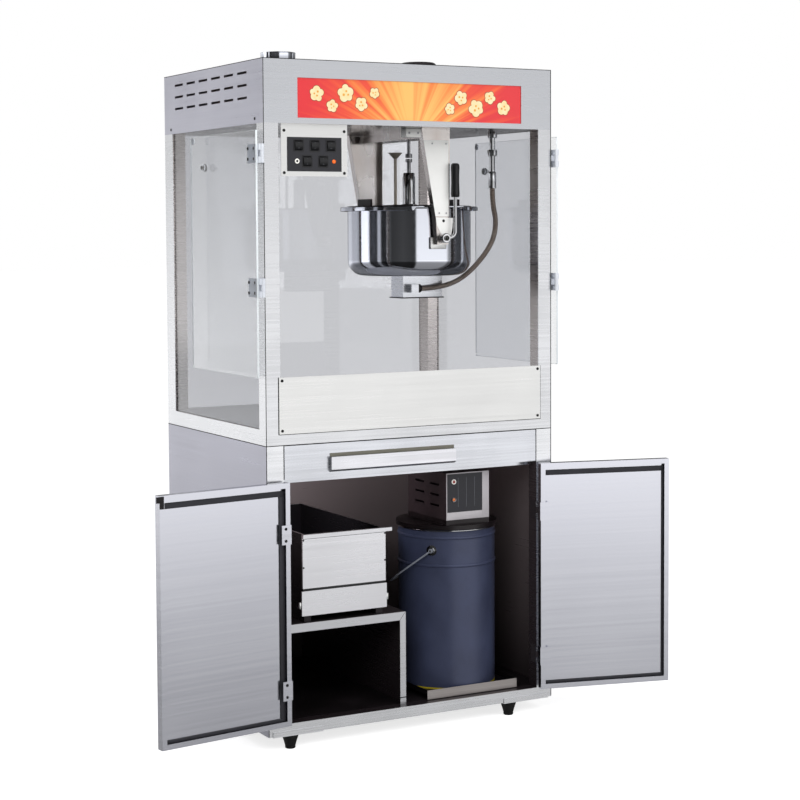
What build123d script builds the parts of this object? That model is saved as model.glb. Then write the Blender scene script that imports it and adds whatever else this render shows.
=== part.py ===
"""Floor-standing popcorn machine: glazed popping cabinet on a cupboard base.

Millimetres, +Z up. The shapes are laid out from the front plane of the cabinet
(Y grows to the rear) and from a level a little above the floor (Z), then moved so that the
origin lies on the floor under the middle of the whole box, measured with the doors as they
stand in the photo.
"""
import os
from math import cos, radians, sin, sqrt, tan

from build123d import *

# Driving dimensions of the cabinet.
WIDTH = 900.0
DEPTH = 700.0
FOOT_H = 28.0
FOOT_DROP = 13.0
FOOT_TOP_R = 22.0
FOOT_END_R = 14.0
RAIL_TOP = 59.0
BASE_TOP = 811.0
DRAWER_BAY = 95.0
DOOR_OPENING_TOP = BASE_TOP - DRAWER_BAY
SILL_TOP = BASE_TOP + 30
SIDE_RAIL_TOP = BASE_TOP + 42
WINDOW_SILL = 993.0
TOP = 1836.0
HEADER_H = 170.0
HEADER_BOTTOM = TOP - HEADER_H
SHEET = 2.0
POST = 43.0
REAR_POST = 60.0
BASE_POST = 50.0
GLASS = 5.0
SCREW_R = 4.0
SCREW_H = 1.6

# Fits and gaps.
SLIDE_GAP = 0.3
RUN_GAP = 0.05
SWING_GAP = 1.5

# Window doors, hung on the front outer corners and swung right round in the photo.
PANE_GAP_MID = 4.0
PANE_TOP = HEADER_BOTTOM - 20
PANE_FACE = 0.5
PANE_EDGE_INSET = 3.0
WIN_AXIS_OUT = 10.0
WIN_AXIS_FORWARD = 14.0
WIN_REST = 270.0
WIN_HINGE_Z = (WINDOW_SILL + 239, HEADER_BOTTOM - 81)
WIN_LEAF_H = 50.0
WIN_LEAF_W = 57.0
WIN_BARREL_R = 5.0
WIN_PIN_R = 2.0
KNOB_Z = PANE_TOP - 87
KNOB_FROM_EDGE = 72.0

# Base doors, set into the base opening.
BASE_DOOR_T = 23.0
BASE_DOOR_BOTTOM = RAIL_TOP + 3
BASE_DOOR_TOP = DOOR_OPENING_TOP - 1
BASE_DOOR_EDGE_GAP = 4.5
BASE_DOOR_MID_GAP = 4.0
BASE_DOOR_RIM = 14.0
BASE_LINER_RECESS = 10.5
BASE_AXIS_FORWARD = 5.0
BASE_AXIS_IN = 1.8
BASE_REST_LEFT = 172.0
BASE_REST_RIGHT = 166.0
BASE_HINGE_Z = (158.0, 577.0)
BASE_LEAF_H = 52.0
BASE_LEAF_T = 1.6
BASE_BARREL_R = 3.5
BASE_PIN_R = 1.5

# Kettle, hung between two arms and tipped about a front-to-back axis.
KETTLE_X = 163.0
KETTLE_Y = 320.0
KETTLE_R = 181.0
KETTLE_WALL = 2.0
KETTLE_H = 200.0
KETTLE_DROP = 216.0
KETTLE_RIM = HEADER_BOTTOM - KETTLE_DROP
KETTLE_BOTTOM = KETTLE_RIM - KETTLE_H
KETTLE_EDGE_R = 45.0
FLANGE_R = 202.0
FLANGE_H = 12.0
FLANGE_FLAT = 184.0
PIVOT_X = 155.0
PIVOT_Z = KETTLE_RIM - 91
PIVOT_R = 8.0
ARM_GAP = 6.0
ARM_T = 22.0
ARM_TOP_LEFT = 67.0
ARM_RIGHT = 24.0
ARM_FOOT_LEFT = 23.0
ARM_FOOT_Z = KETTLE_RIM - 30
BRIDGE_W = 84.0
BRIDGE_T = 4.0
SLEEVE_R = 18.5
SLEEVE_TOP = KETTLE_RIM + 100
SHAFT_R = 6.0
DOG_R = 10.0
DOG_TOP = KETTLE_RIM + 141
DOG_GAP = 3.0
FUNNEL_DX = -45.0
FUNNEL_TOP = KETTLE_RIM + 158
HANDLE_DX = 32.0
HANDLE_FORWARD = 16.0
HANDLE_R = 5.0
GRIP_R = 12.5
GRIP_BOTTOM = KETTLE_RIM + 25
GRIP_TOP = GRIP_BOTTOM + 96

# Heater box and its flexible conduit.
BOX_W = 131.0
BOX_D = 72.0
BOX_H = 64.0
BOX_DX = 32.5
BOX_BOTTOM = KETTLE_BOTTOM - BOX_H
CONDUIT_R = 8.0
PIPE_X = 352.0
PIPE_Y = 160.0
PIPE_END = HEADER_BOTTOM - 163
ELBOW_DX = -38.5
ELBOW_Z = BOX_BOTTOM + 26

# Kernel drawer.
DRAWER_GAP = 3.0
DRAWER_BOTTOM = DOOR_OPENING_TOP + DRAWER_GAP
DRAWER_TOP = BASE_TOP - 2
DRAWER_FRONT_T = 18.0
DRAWER_LENGTH = 560.0
PULL_LEFT = -263.0
PULL_RIGHT = 126.0
PULL_TOP = DRAWER_TOP - 27
PULL_SLOT = 9.0
PULL_BOTTOM = PULL_TOP - 50
PULL_OUT = 12.0
PULL_SLOPE = 6.0
PULL_FOOT = 4.0

# Corn bin on the shelf, left half of the base.
SHELF_TOP = 319.5
SHELF_RIGHT = -14.5
SHELF_FRONT = 30.0
SHELF_LIP = 23.0
BIN_LEFT = -329.5
BIN_RIGHT = -75.0
BIN_FRONT = 34.0
BIN_LENGTH = 525.0
BIN_BOTTOM = 337.0
BIN_TOP = 560.5

# Oil pail and its pump on a pull-out tray, right half of the base.
PAIL_X = 202.0
PAIL_Y = 176.0
PAIL_R = 140.0
PAIL_TOP = 533.0
TRAY_BOTTOM = RAIL_TOP + 14
TRAY_W = 296.0
TRAY_FRONT = 29.0
TRAY_LENGTH = 300.0
TRAY_LIP = 26.0
PUMP_W = 141.0
PUMP_FRONT = 52.0
PUMP_LENGTH = 222.0
PUMP_BOTTOM = 545.0
PUMP_TOP = 694.0
BAIL_Z = 473.0
BAIL_TURN = 47.5
BAIL_DROOP = 36.0

# Sign, roof fittings and controls.
SIGN_HALF = 350.0
SIGN_BOTTOM = HEADER_BOTTOM + 15
SIGN_TOP = SIGN_BOTTOM + 106
COLLAR_X = -243.0
COLLAR_Y = 350.0
COLLAR_R = 50.0
COLLAR_TOP = TOP + 50
FAN_R = 90.0
CAP_X = 163.0
CAP_Y = 262.0
CAP_R = 53.0
CAP_TOP = TOP + 30
PANEL_LEFT = -390.0
PANEL_RIGHT = -193.0
PANEL_BOTTOM = HEADER_BOTTOM - 139
PANEL_Y = 20.0

HALF = WIDTH / 2
POST_IN = HALF - POST
BASE_IN = HALF - BASE_POST
BASE_DOOR_W = BASE_IN - BASE_DOOR_EDGE_GAP - BASE_DOOR_MID_GAP / 2
BASE_SWING = BASE_DOOR_T + BASE_AXIS_FORWARD
OPEN_SHORT = radians(180 - BASE_REST_RIGHT)
FORWARD_REACH = (
    BASE_AXIS_FORWARD
    + BASE_SWING * cos(OPEN_SHORT)
    + (BASE_DOOR_W + BASE_DOOR_EDGE_GAP - BASE_AXIS_IN) * sin(OPEN_SHORT)
)
FRONT = -(DEPTH - FORWARD_REACH) / 2

os.makedirs("parts", exist_ok=True)


def block(x0, x1, y0, y1, z0, z1):
    """Box between two opposite corners."""
    return Pos((x0 + x1) / 2, (y0 + y1) / 2, (z0 + z1) / 2) * Box(x1 - x0, y1 - y0, z1 - z0)


def upright(x, y, z0, z1, r):
    """Round bar along Z."""
    return Pos(x, y, (z0 + z1) / 2) * Cylinder(r, z1 - z0)


def bar_x(x0, x1, y, z, r):
    """Round bar along X."""
    return Pos((x0 + x1) / 2, y, z) * Rot(0, 90, 0) * Cylinder(r, x1 - x0)


def bar_y(x, y0, y1, z, r):
    """Round bar along Y."""
    return Pos(x, (y0 + y1) / 2, z) * Rot(90, 0, 0) * Cylinder(r, y1 - y0)


def hollow_bar(x0, x1, y0, y1, z0, z1, along, wall=SHEET):
    """Rectangular tube, open at both ends along the named direction."""
    wx = 0 if along == "x" else wall
    wy = 0 if along == "y" else wall
    wz = 0 if along == "z" else wall
    return block(x0, x1, y0, y1, z0, z1) - block(x0 + wx, x1 - wx, y0 + wy, y1 - wy, z0 + wz, z1 - wz)


def open_tray(x0, x1, y0, y1, z0, z1, wall):
    """Box open at the top."""
    inside = block(x0 + wall, x1 - wall, y0 + wall, y1 - wall, z0 + wall, z1 + 1)
    return block(x0, x1, y0, y1, z0, z1) - inside


def both_sides(shape):
    """The shape and its mirror image across the middle of the cabinet."""
    return [shape, mirror(shape, about=Plane.YZ)]


def swing(shape, x, y, degrees):
    """The shape turned about an upright axis."""
    return Pos(x, y, 0) * Rot(0, 0, degrees) * Pos(-x, -y, 0) * shape


def outline_y(points, y0, y1):
    """Flat outline in X and Z, given a thickness along Y."""
    face = make_face(Polyline(*[(x, y0, z) for x, z in points], close=True))
    return extrude(face, amount=y1 - y0, dir=(0, 1, 0))


def outline_x(points, x0, x1):
    """Flat outline in Y and Z, given a length along X."""
    face = make_face(Polyline(*[(x0, y, z) for y, z in points], close=True))
    return extrude(face, amount=x1 - x0, dir=(1, 0, 0))


def turned(x, y, points):
    """Profile of radius and height turned about an upright axis."""
    face = make_face(Polyline(*[(r, 0, z) for r, z in points], close=True))
    return Pos(x, y, 0) * revolve(face, axis=Axis.Z)


def save(name, *pieces):
    """Write one node, moved into the shared frame."""
    solids = [s for piece in pieces for s in piece.solids()]
    whole = solids[0] if len(solids) == 1 else Compound(solids)
    export_step(Pos(0, FRONT, FOOT_DROP) * whole, f"parts/{name}.step")


def screw_front(x, z, y):
    """Pan head standing out of a face that looks forward."""
    return bar_y(x, y - SCREW_H, y, z, SCREW_R)


# Frame of the popping cabinet: corner posts and bottom rails.
rear_face = DEPTH - REAR_POST
front_post = hollow_bar(-HALF, -POST_IN, 0, POST, BASE_TOP, HEADER_BOTTOM, "z")
rear_post = hollow_bar(-HALF, -POST_IN, rear_face, DEPTH, BASE_TOP, HEADER_BOTTOM, "z")
RAIL = 30.0
side_rail = hollow_bar(-HALF, -HALF + RAIL, POST, rear_face, BASE_TOP, SIDE_RAIL_TOP, "y")
front_sill = hollow_bar(-POST_IN, POST_IN, 0, RAIL, BASE_TOP, SILL_TOP, "x")
rear_rail = hollow_bar(-POST_IN, POST_IN, DEPTH - RAIL, DEPTH, BASE_TOP, SIDE_RAIL_TOP, "x")
save(
    "cabinet_frame",
    *both_sides(front_post),
    *both_sides(rear_post),
    *both_sides(side_rail),
    front_sill,
    rear_rail,
)

GLASS_INSET = 4.0
side_glass = block(
    -HALF + GLASS_INSET, -HALF + GLASS_INSET + GLASS, POST, rear_face, SIDE_RAIL_TOP, HEADER_BOTTOM
)
rear_glass_y = DEPTH - GLASS_INSET - GLASS
rear_glass = block(
    -POST_IN, POST_IN, rear_glass_y, rear_glass_y + GLASS, SIDE_RAIL_TOP, HEADER_BOTTOM
)
save("cabinet_glass", *both_sides(side_glass), rear_glass)

PLATE_LAP = 5.0
plate_half = POST_IN + PLATE_LAP
save("lower_front_plate", block(-plate_half, plate_half, -SHEET, 0, SILL_TOP, WINDOW_SILL))

# Deck that lets small kernels fall through to the drawer.
DECK_REST = 14.0
HOLE_R = 5.0
HOLE_PITCH = 32.0
deck_half = HALF - RAIL + DECK_REST
deck_z = SIDE_RAIL_TOP + SHEET
deck = block(
    -deck_half, deck_half, POST + SLIDE_GAP, rear_face - SLIDE_GAP, SIDE_RAIL_TOP, deck_z
)
deck += block(
    -POST_IN + SLIDE_GAP, POST_IN - SLIDE_GAP, SLIDE_GAP, rear_glass_y - SLIDE_GAP, SIDE_RAIL_TOP, deck_z
)
with GridLocations(HOLE_PITCH, HOLE_PITCH, 12, 9) as hole_grid:
    hole_places = list(hole_grid)
deck_holes = [
    Pos(0, DEPTH / 2, SIDE_RAIL_TOP) * place * Cylinder(HOLE_R, SHEET * 4) for place in hole_places
]
save("sifter_deck", deck - deck_holes)

# Header: lit sign in front, slotted sides, plain rear, roof and the ceiling over the kettle.
header_front = block(-HALF, HALF, 0, SHEET, HEADER_BOTTOM, TOP)
header_front -= block(-SIGN_HALF, SIGN_HALF, -1, SHEET + 1, SIGN_BOTTOM, SIGN_TOP)
save("header_front_panel", header_front)

SLOT_ROWS = 3
SLOT_COLUMNS = 6
SLOT_H = 6.5
SLOT_L = 62.0
SLOT_FIRST = 104.0
SLOT_LAST = 617.0
SLOT_LOW = TOP - 98.5
SLOT_RISE = 33.7
slot_pitch = (SLOT_LAST - SLOT_FIRST - SLOT_L) / (SLOT_COLUMNS - 1)
header_side = block(-HALF, -HALF + SHEET, SHEET, DEPTH - SHEET, HEADER_BOTTOM, TOP)
side_slots = []
for row in range(SLOT_ROWS):
    slot_z = SLOT_LOW - SLOT_H / 2 + row * SLOT_RISE
    for column in range(SLOT_COLUMNS):
        slot_y = SLOT_FIRST + column * slot_pitch
        slot = block(-HALF - 1, -HALF + SHEET + 1, slot_y, slot_y + SLOT_L, slot_z, slot_z + SLOT_H)
        side_slots.append(slot)
header_side -= side_slots
header_rear = block(-HALF, HALF, DEPTH - SHEET, DEPTH, HEADER_BOTTOM, TOP)
save("header_panels", *both_sides(header_side), header_rear)

ROOF_HOLE_GAP = 0.5
inner_half = HALF - SHEET
roof = block(-inner_half, inner_half, SHEET, DEPTH - SHEET, TOP - SHEET, TOP)
NECK_R = COLLAR_R - 3
roof -= upright(COLLAR_X, COLLAR_Y, TOP - 2 * SHEET, TOP + SHEET, NECK_R + ROOF_HOLE_GAP)
MOTOR_R = 42.0
roof -= upright(CAP_X, CAP_Y, TOP - 2 * SHEET, TOP + SHEET, MOTOR_R + ROOF_HOLE_GAP)
save("roof_panel", roof)

ceiling_top = HEADER_BOTTOM + SHEET
INTAKE_R = 13.0
ceiling = block(-inner_half, inner_half, SHEET, DEPTH - SHEET, HEADER_BOTTOM, ceiling_top)
with PolarLocations(FAN_R * 0.6, 8) as intake_ring:
    intake_places = list(intake_ring)
ceiling -= [
    Pos(COLLAR_X, COLLAR_Y, HEADER_BOTTOM) * place * Cylinder(INTAKE_R, SHEET * 4)
    for place in intake_places
]
ceiling -= upright(KETTLE_X, KETTLE_Y, HEADER_BOTTOM - SHEET, ceiling_top + SHEET, DOG_R)
save("hood_ceiling", ceiling)

SIGN_LAP = 4.0
SIGN_T = 3.0
save(
    "sign_panel",
    block(
        -SIGN_HALF - SIGN_LAP,
        SIGN_HALF + SIGN_LAP,
        SHEET,
        SHEET + SIGN_T,
        SIGN_BOTTOM - SIGN_LAP,
        SIGN_TOP + SIGN_LAP,
    ),
)
LAMP_R = 13.0
LAMP_Y = 60.0
LAMP_HALF = SIGN_HALF - 30
lamp_z = (SIGN_BOTTOM + SIGN_TOP) / 2
lamp_holder = block(
    -LAMP_HALF - 14, -LAMP_HALF, LAMP_Y - LAMP_R - 4, LAMP_Y + LAMP_R + 4, ceiling_top, lamp_z + LAMP_R + 6
)
save("sign_lamp", bar_x(-LAMP_HALF, LAMP_HALF, LAMP_Y, lamp_z, LAMP_R), *both_sides(lamp_holder))

# Exhaust: fan housing on the ceiling, neck through the roof, fan wheel on a fixed motor.
HOUSING_TOP = ceiling_top + 84
NECK_WALL = 1.5
housing = turned(
    COLLAR_X,
    COLLAR_Y,
    [
        (FAN_R, ceiling_top),
        (FAN_R, HOUSING_TOP),
        (NECK_R, HOUSING_TOP + 20),
        (NECK_R, TOP),
        (COLLAR_R, TOP),
        (COLLAR_R, COLLAR_TOP),
        (NECK_R - NECK_WALL, COLLAR_TOP),
        (NECK_R - NECK_WALL, HOUSING_TOP + 19),
        (FAN_R - NECK_WALL, HOUSING_TOP - 1),
        (FAN_R - NECK_WALL, ceiling_top),
    ],
)
FAN_MOTOR_R = 22.0
FAN_MOTOR_TOP = ceiling_top + 30
FAN_SHAFT_R = 4.0
FAN_HUB_TOP = FAN_MOTOR_TOP + 36
fan_motor = upright(COLLAR_X, COLLAR_Y, ceiling_top, FAN_MOTOR_TOP, FAN_MOTOR_R)
fan_motor += upright(COLLAR_X, COLLAR_Y, FAN_MOTOR_TOP, FAN_HUB_TOP, FAN_SHAFT_R)
save("exhaust_duct", housing, fan_motor)

BLADE_TIP = FAN_R - NECK_WALL - 6
fan_low = FAN_MOTOR_TOP + SWING_GAP
wheel = upright(COLLAR_X, COLLAR_Y, fan_low, FAN_HUB_TOP - SWING_GAP, FAN_MOTOR_R)
blade = Pos((BLADE_TIP + FAN_MOTOR_R - 4) / 2, 0, (fan_low + FAN_HUB_TOP - SWING_GAP) / 2)
blade *= Rot(32, 0, 0) * Box(BLADE_TIP - FAN_MOTOR_R + 4, 2, 30)
for place in PolarLocations(0, 6):
    wheel += Pos(COLLAR_X, COLLAR_Y, 0) * place * blade
wheel -= upright(COLLAR_X, COLLAR_Y, fan_low - 1, FAN_HUB_TOP + 1, FAN_SHAFT_R + RUN_GAP)
save("fan_wheel", wheel)

# Stirring drive: gear case on the ceiling, motor through the roof under a cap, and its stub shaft.
GEAR_HALF = 40.0
GEAR_TOP = ceiling_top + 62
gear_case = block(
    KETTLE_X - GEAR_HALF,
    KETTLE_X + GEAR_HALF,
    CAP_Y - GEAR_HALF,
    KETTLE_Y + GEAR_HALF,
    ceiling_top,
    GEAR_TOP,
)
gear_case += upright(CAP_X, CAP_Y, GEAR_TOP, TOP, MOTOR_R)
gear_case += upright(CAP_X, CAP_Y, TOP, CAP_TOP, CAP_R)
gear_case = fillet(gear_case.edges().group_by(Axis.Z)[-1], 10)
STUB_R = 5.0
STUB_IN = GEAR_TOP - 20
gear_case -= upright(KETTLE_X, KETTLE_Y, ceiling_top - 1, STUB_IN + SWING_GAP, STUB_R + RUN_GAP)
save("drive_motor", gear_case)
dog_low = DOG_TOP + DOG_GAP
DOG_H = 12.0
drive_shaft = upright(KETTLE_X, KETTLE_Y, dog_low, STUB_IN, STUB_R)
drive_shaft += upright(KETTLE_X, KETTLE_Y, dog_low, dog_low + DOG_H, DOG_R)
save("drive_shaft", drive_shaft)

# Hanger: a beam under the ceiling and two tapered channel arms with the pivot bores.
arm_back = KETTLE_Y - FLANGE_FLAT - ARM_GAP
arm_front = arm_back - ARM_T
ARM_LUG = 18.0
ARM_SKIN = 2.5
REAR_ARM_WIDER = 24.0


def channel_arm(wider):
    """Front arm as a channel open to the kettle, its left edge moved out by the given width."""
    left = PIVOT_X - wider
    outline = [
        (left - ARM_TOP_LEFT, HEADER_BOTTOM),
        (PIVOT_X + ARM_RIGHT, HEADER_BOTTOM),
        (PIVOT_X + ARM_RIGHT - 2, ARM_FOOT_Z),
        (PIVOT_X + ARM_LUG, PIVOT_Z - ARM_LUG),
        (PIVOT_X - ARM_LUG, PIVOT_Z - ARM_LUG),
        (left - ARM_FOOT_LEFT, ARM_FOOT_Z),
    ]
    hollow = [
        (left - ARM_TOP_LEFT + 2 * ARM_SKIN, HEADER_BOTTOM - ARM_SKIN),
        (PIVOT_X + ARM_RIGHT - ARM_SKIN, HEADER_BOTTOM - ARM_SKIN),
        (PIVOT_X + ARM_RIGHT - 2 - ARM_SKIN, ARM_FOOT_Z),
        (left - ARM_FOOT_LEFT + ARM_SKIN, ARM_FOOT_Z),
    ]
    arm = outline_y(outline, arm_front, arm_back)
    arm -= outline_y(hollow, arm_front + ARM_SKIN, arm_back + 1)
    return arm - bar_y(PIVOT_X, arm_front - 1, arm_back + 1, PIVOT_Z, PIVOT_R + RUN_GAP)


front_arm = channel_arm(0)
rear_arm = mirror(channel_arm(REAR_ARM_WIDER), about=Plane.XZ.offset(-KETTLE_Y))
BEAM_H = 24.0
beam = block(
    PIVOT_X - ARM_TOP_LEFT + 14,
    PIVOT_X + ARM_RIGHT - 12,
    arm_back,
    2 * KETTLE_Y - arm_back,
    HEADER_BOTTOM - BEAM_H,
    HEADER_BOTTOM,
)
beam -= upright(KETTLE_X, KETTLE_Y, HEADER_BOTTOM - BEAM_H - 1, HEADER_BOTTOM + 1, DOG_R)
save("kettle_hanger", front_arm, rear_arm, beam)

# Control plate hung behind the window line, its dark face, lamps and rocker switches.
PANEL_FLANGE = 25.0
control_plate = block(PANEL_LEFT, PANEL_RIGHT, PANEL_Y, PANEL_Y + SHEET, PANEL_BOTTOM, HEADER_BOTTOM)
control_plate += block(
    PANEL_LEFT, PANEL_RIGHT, PANEL_Y, PANEL_Y + PANEL_FLANGE, HEADER_BOTTOM - SHEET, HEADER_BOTTOM
)
FACE_T = 1.5
face_left = PANEL_LEFT + 18
face_right = PANEL_RIGHT - 18
face_low = PANEL_BOTTOM + 13
face_high = PANEL_BOTTOM + 104
face_y = PANEL_Y - FACE_T
control_face = block(face_left, face_right, face_y, PANEL_Y, face_low, face_high)
ROCKER_W = 22.0
ROCKER_R = 17.0
ROCKER_PIN_R = 1.5
ROCKER_OUT = 4.0
ROCKER_GAP = 0.6
ROCKER_PITCH = 48.0
ROCKER_FIRST = PANEL_LEFT + 51
ROCKER_STAGGER = 25.0
rocker_high = PANEL_BOTTOM + 82
rocker_low = PANEL_BOTTOM + 40
rocker_places = [
    (ROCKER_FIRST, rocker_high),
    (ROCKER_FIRST + ROCKER_PITCH, rocker_high),
    (ROCKER_FIRST + 2 * ROCKER_PITCH, rocker_high),
    (ROCKER_FIRST + ROCKER_STAGGER, rocker_low),
    (ROCKER_FIRST + ROCKER_STAGGER + ROCKER_PITCH, rocker_low),
]
rocker_axis_y = face_y + ROCKER_R - ROCKER_OUT
rocker_half = sqrt(ROCKER_R**2 - (rocker_axis_y - PANEL_Y - SHEET) ** 2) + ROCKER_GAP
rocker_cell_back = rocker_axis_y + ROCKER_R + SWING_GAP
cells = []
for index, (x, z) in enumerate(rocker_places):
    hole = block(
        x - ROCKER_W / 2 - ROCKER_GAP,
        x + ROCKER_W / 2 + ROCKER_GAP,
        face_y - 1,
        PANEL_Y + SHEET + 1,
        z - rocker_half,
        z + rocker_half,
    )
    control_plate -= hole
    control_face -= hole
    cell = block(
        x - ROCKER_W / 2 - ROCKER_GAP - FACE_T,
        x + ROCKER_W / 2 + ROCKER_GAP + FACE_T,
        PANEL_Y + SHEET,
        rocker_cell_back + FACE_T,
        z - ROCKER_R - ROCKER_GAP - FACE_T,
        z + ROCKER_R + ROCKER_GAP + FACE_T,
    )
    cell -= block(
        x - ROCKER_W / 2 - ROCKER_GAP,
        x + ROCKER_W / 2 + ROCKER_GAP,
        PANEL_Y,
        rocker_cell_back,
        z - ROCKER_R - ROCKER_GAP,
        z + ROCKER_R + ROCKER_GAP,
    )
    pin = bar_x(
        x - ROCKER_W / 2 - ROCKER_GAP, x + ROCKER_W / 2 + ROCKER_GAP, rocker_axis_y, z, ROCKER_PIN_R
    )
    cells.append(cell + pin)
    rocker = bar_x(x - ROCKER_W / 2, x + ROCKER_W / 2, rocker_axis_y, z, ROCKER_R)
    rocker -= block(
        x - ROCKER_W, x + ROCKER_W, rocker_axis_y + 6, rocker_cell_back, z - ROCKER_R, z + ROCKER_R
    )
    rocker -= bar_x(x - ROCKER_W, x + ROCKER_W, rocker_axis_y, z, ROCKER_PIN_R + RUN_GAP)
    save(f"rocker_switch_{index + 1}", rocker)
LAMP_STAND = 2.5
lamp_ring = bar_y(ROCKER_FIRST - 5, face_y - LAMP_STAND, face_y, rocker_low, 6.5)
lamp_amber = bar_y(ROCKER_FIRST + 105, face_y - LAMP_STAND, face_y, rocker_low, 5.5)
save("control_plate", control_plate, *cells)
save("control_face", control_face)
save("pilot_lamps", lamp_ring, lamp_amber)

# Heads of the screws that hold the plates and the header.
SCREW_IN = 9.0
heads = []
for x in (-plate_half + SCREW_IN, plate_half - SCREW_IN):
    for z in (SILL_TOP + SCREW_IN, WINDOW_SILL - SCREW_IN):
        heads.append(screw_front(x, z, -SHEET))
for x in (PANEL_LEFT + SCREW_IN, PANEL_RIGHT - SCREW_IN):
    for z in (PANEL_BOTTOM + SCREW_IN, HEADER_BOTTOM - 2 * SCREW_IN):
        heads.append(screw_front(x, z, PANEL_Y))
for y in (54.0, DEPTH - 50):
    side_head = bar_x(-HALF - SCREW_H, -HALF, y, HEADER_BOTTOM + 13, SCREW_R)
    heads.extend(both_sides(side_head))
save("panel_screws", *heads)

# Window doors: built shut, then swung to the photo's place.
pane_left = -HALF + PANE_EDGE_INSET
pane_right = -PANE_GAP_MID / 2
pane_bottom = WINDOW_SILL + SWING_GAP
pane_back = -PANE_FACE
pane_front = pane_back - GLASS
win_x = -HALF - WIN_AXIS_OUT
win_y = -WIN_AXIS_FORWARD
KNUCKLE = WIN_LEAF_H / 3
pane = block(pane_left, pane_right, pane_front, pane_back, pane_bottom, PANE_TOP)
pane = fillet(pane.edges().filter_by(Axis.Y), 6)


def window_leaf(z):
    """Door half of a window hinge: plate, two outer knuckles and four screw heads."""
    leaf = block(
        pane_left - 1,
        pane_left - 1 + WIN_LEAF_W,
        pane_front - SHEET,
        pane_front,
        z - WIN_LEAF_H / 2,
        z + WIN_LEAF_H / 2,
    )
    for side in (-1, 1):
        low = min(side * KNUCKLE / 2, side * WIN_LEAF_H / 2) + z
        high = max(side * KNUCKLE / 2, side * WIN_LEAF_H / 2) + z
        low += SLIDE_GAP if side > 0 else 0
        high -= SLIDE_GAP if side < 0 else 0
        leaf += upright(win_x, win_y, low, high, WIN_BARREL_R)
        leaf += block(win_x, pane_left, pane_front - SHEET, pane_front, low, high)
        leaf += block(win_x, win_x + 2 * SHEET, win_y, pane_front, low, high)
    for x in (pane_left + 13, pane_left + WIN_LEAF_W - 8):
        for dz in (-14, 14):
            leaf += screw_front(x, z + dz, pane_front - SHEET)
    return leaf - upright(win_x, win_y, z - WIN_LEAF_H, z + WIN_LEAF_H, WIN_PIN_R + RUN_GAP)


def window_fixed_leaf(z):
    """Cabinet half of a window hinge: plate on the post's side, middle knuckle and pin."""
    half = KNUCKLE / 2
    leaf = block(-HALF - SHEET, -HALF, 4, 38, z - WIN_LEAF_H / 2, z + WIN_LEAF_H / 2)
    leaf += block(win_x, -HALF, 4 - SHEET, 4, z - half, z + half)
    leaf += block(win_x - SHEET, win_x, win_y, 4, z - half, z + half)
    leaf += upright(win_x, win_y, z - half, z + half, WIN_BARREL_R)
    return leaf + upright(win_x, win_y, z - WIN_LEAF_H / 2, z + WIN_LEAF_H / 2, WIN_PIN_R)


knob_x = pane_right - KNOB_FROM_EDGE
knob = bar_y(knob_x, pane_front - 6, pane_front, KNOB_Z, 5)
knob += bar_y(knob_x, pane_front - 15, pane_front - 6, KNOB_Z, 10)
CATCH_R = 9.0
catch = bar_y(pane_right - CATCH_R - 2, pane_front - 3, pane_front, PANE_TOP - CATCH_R - 2, CATCH_R)
left_fittings = [window_leaf(z) for z in WIN_HINGE_Z] + [knob, catch]
for side, turn in (("left", -WIN_REST), ("right", WIN_REST)):
    shut_pane = pane if side == "left" else mirror(pane, about=Plane.YZ)
    shut_fittings = [f if side == "left" else mirror(f, about=Plane.YZ) for f in left_fittings]
    axis_x = win_x if side == "left" else -win_x
    save(f"{side}_window_pane", swing(shut_pane, axis_x, win_y, turn))
    save(f"{side}_window_fittings", *[swing(f, axis_x, win_y, turn) for f in shut_fittings])
fixed_leaves = []
for z in WIN_HINGE_Z:
    fixed_leaves.extend(both_sides(window_fixed_leaf(z)))

# Base: side and rear panels, front posts and rails, floor and feet.
base_side = block(-HALF, -inner_half, 0, DEPTH, FOOT_H, BASE_TOP)
base_rear = block(-inner_half, inner_half, DEPTH - SHEET, DEPTH, FOOT_H, BASE_TOP)
save("base_panels", *both_sides(base_side), base_rear)

BASE_POST_D = 40.0
base_post = hollow_bar(-inner_half, -BASE_IN, 0, BASE_POST_D, FOOT_H, BASE_TOP, "z")
bottom_rail = hollow_bar(-BASE_IN, BASE_IN, 0, BASE_POST_D, FOOT_H, RAIL_TOP, "x")
DIVIDER_H = 10.0
divider = hollow_bar(
    -BASE_IN,
    BASE_IN,
    BASE_DOOR_T + DRAWER_GAP,
    BASE_POST_D,
    DOOR_OPENING_TOP - DIVIDER_H,
    DOOR_OPENING_TOP,
    "x",
)
FOOT_LEFT = -377.0
FOOT_RIGHT = 317.0
FOOT_Y = 22.0
BRACKET_L = 150.0
BRACKET_LIP = 13.0
brackets = []
for y0, y1 in ((0.0, BASE_POST_D), (DEPTH - BASE_POST_D, DEPTH)):
    plate = block(-inner_half + 10, -inner_half + 10 + BRACKET_L, y0, y1, FOOT_H - SHEET, FOOT_H)
    brackets.extend(both_sides(plate))
bracket_lip = block(
    -inner_half + 10, -inner_half + 10 + BRACKET_L, -SHEET, 0, FOOT_H - SHEET, FOOT_H + BRACKET_LIP
)
brackets.extend(both_sides(bracket_lip))
rear_rail_low = hollow_bar(
    -inner_half, inner_half, DEPTH - BASE_POST_D, DEPTH - SHEET, FOOT_H, RAIL_TOP - SHEET, "x"
)
save("base_frame", *both_sides(base_post), bottom_rail, divider, rear_rail_low, *brackets)

save("base_floor", block(-inner_half, inner_half, BASE_POST_D, DEPTH - SHEET, RAIL_TOP - SHEET, RAIL_TOP))

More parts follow.
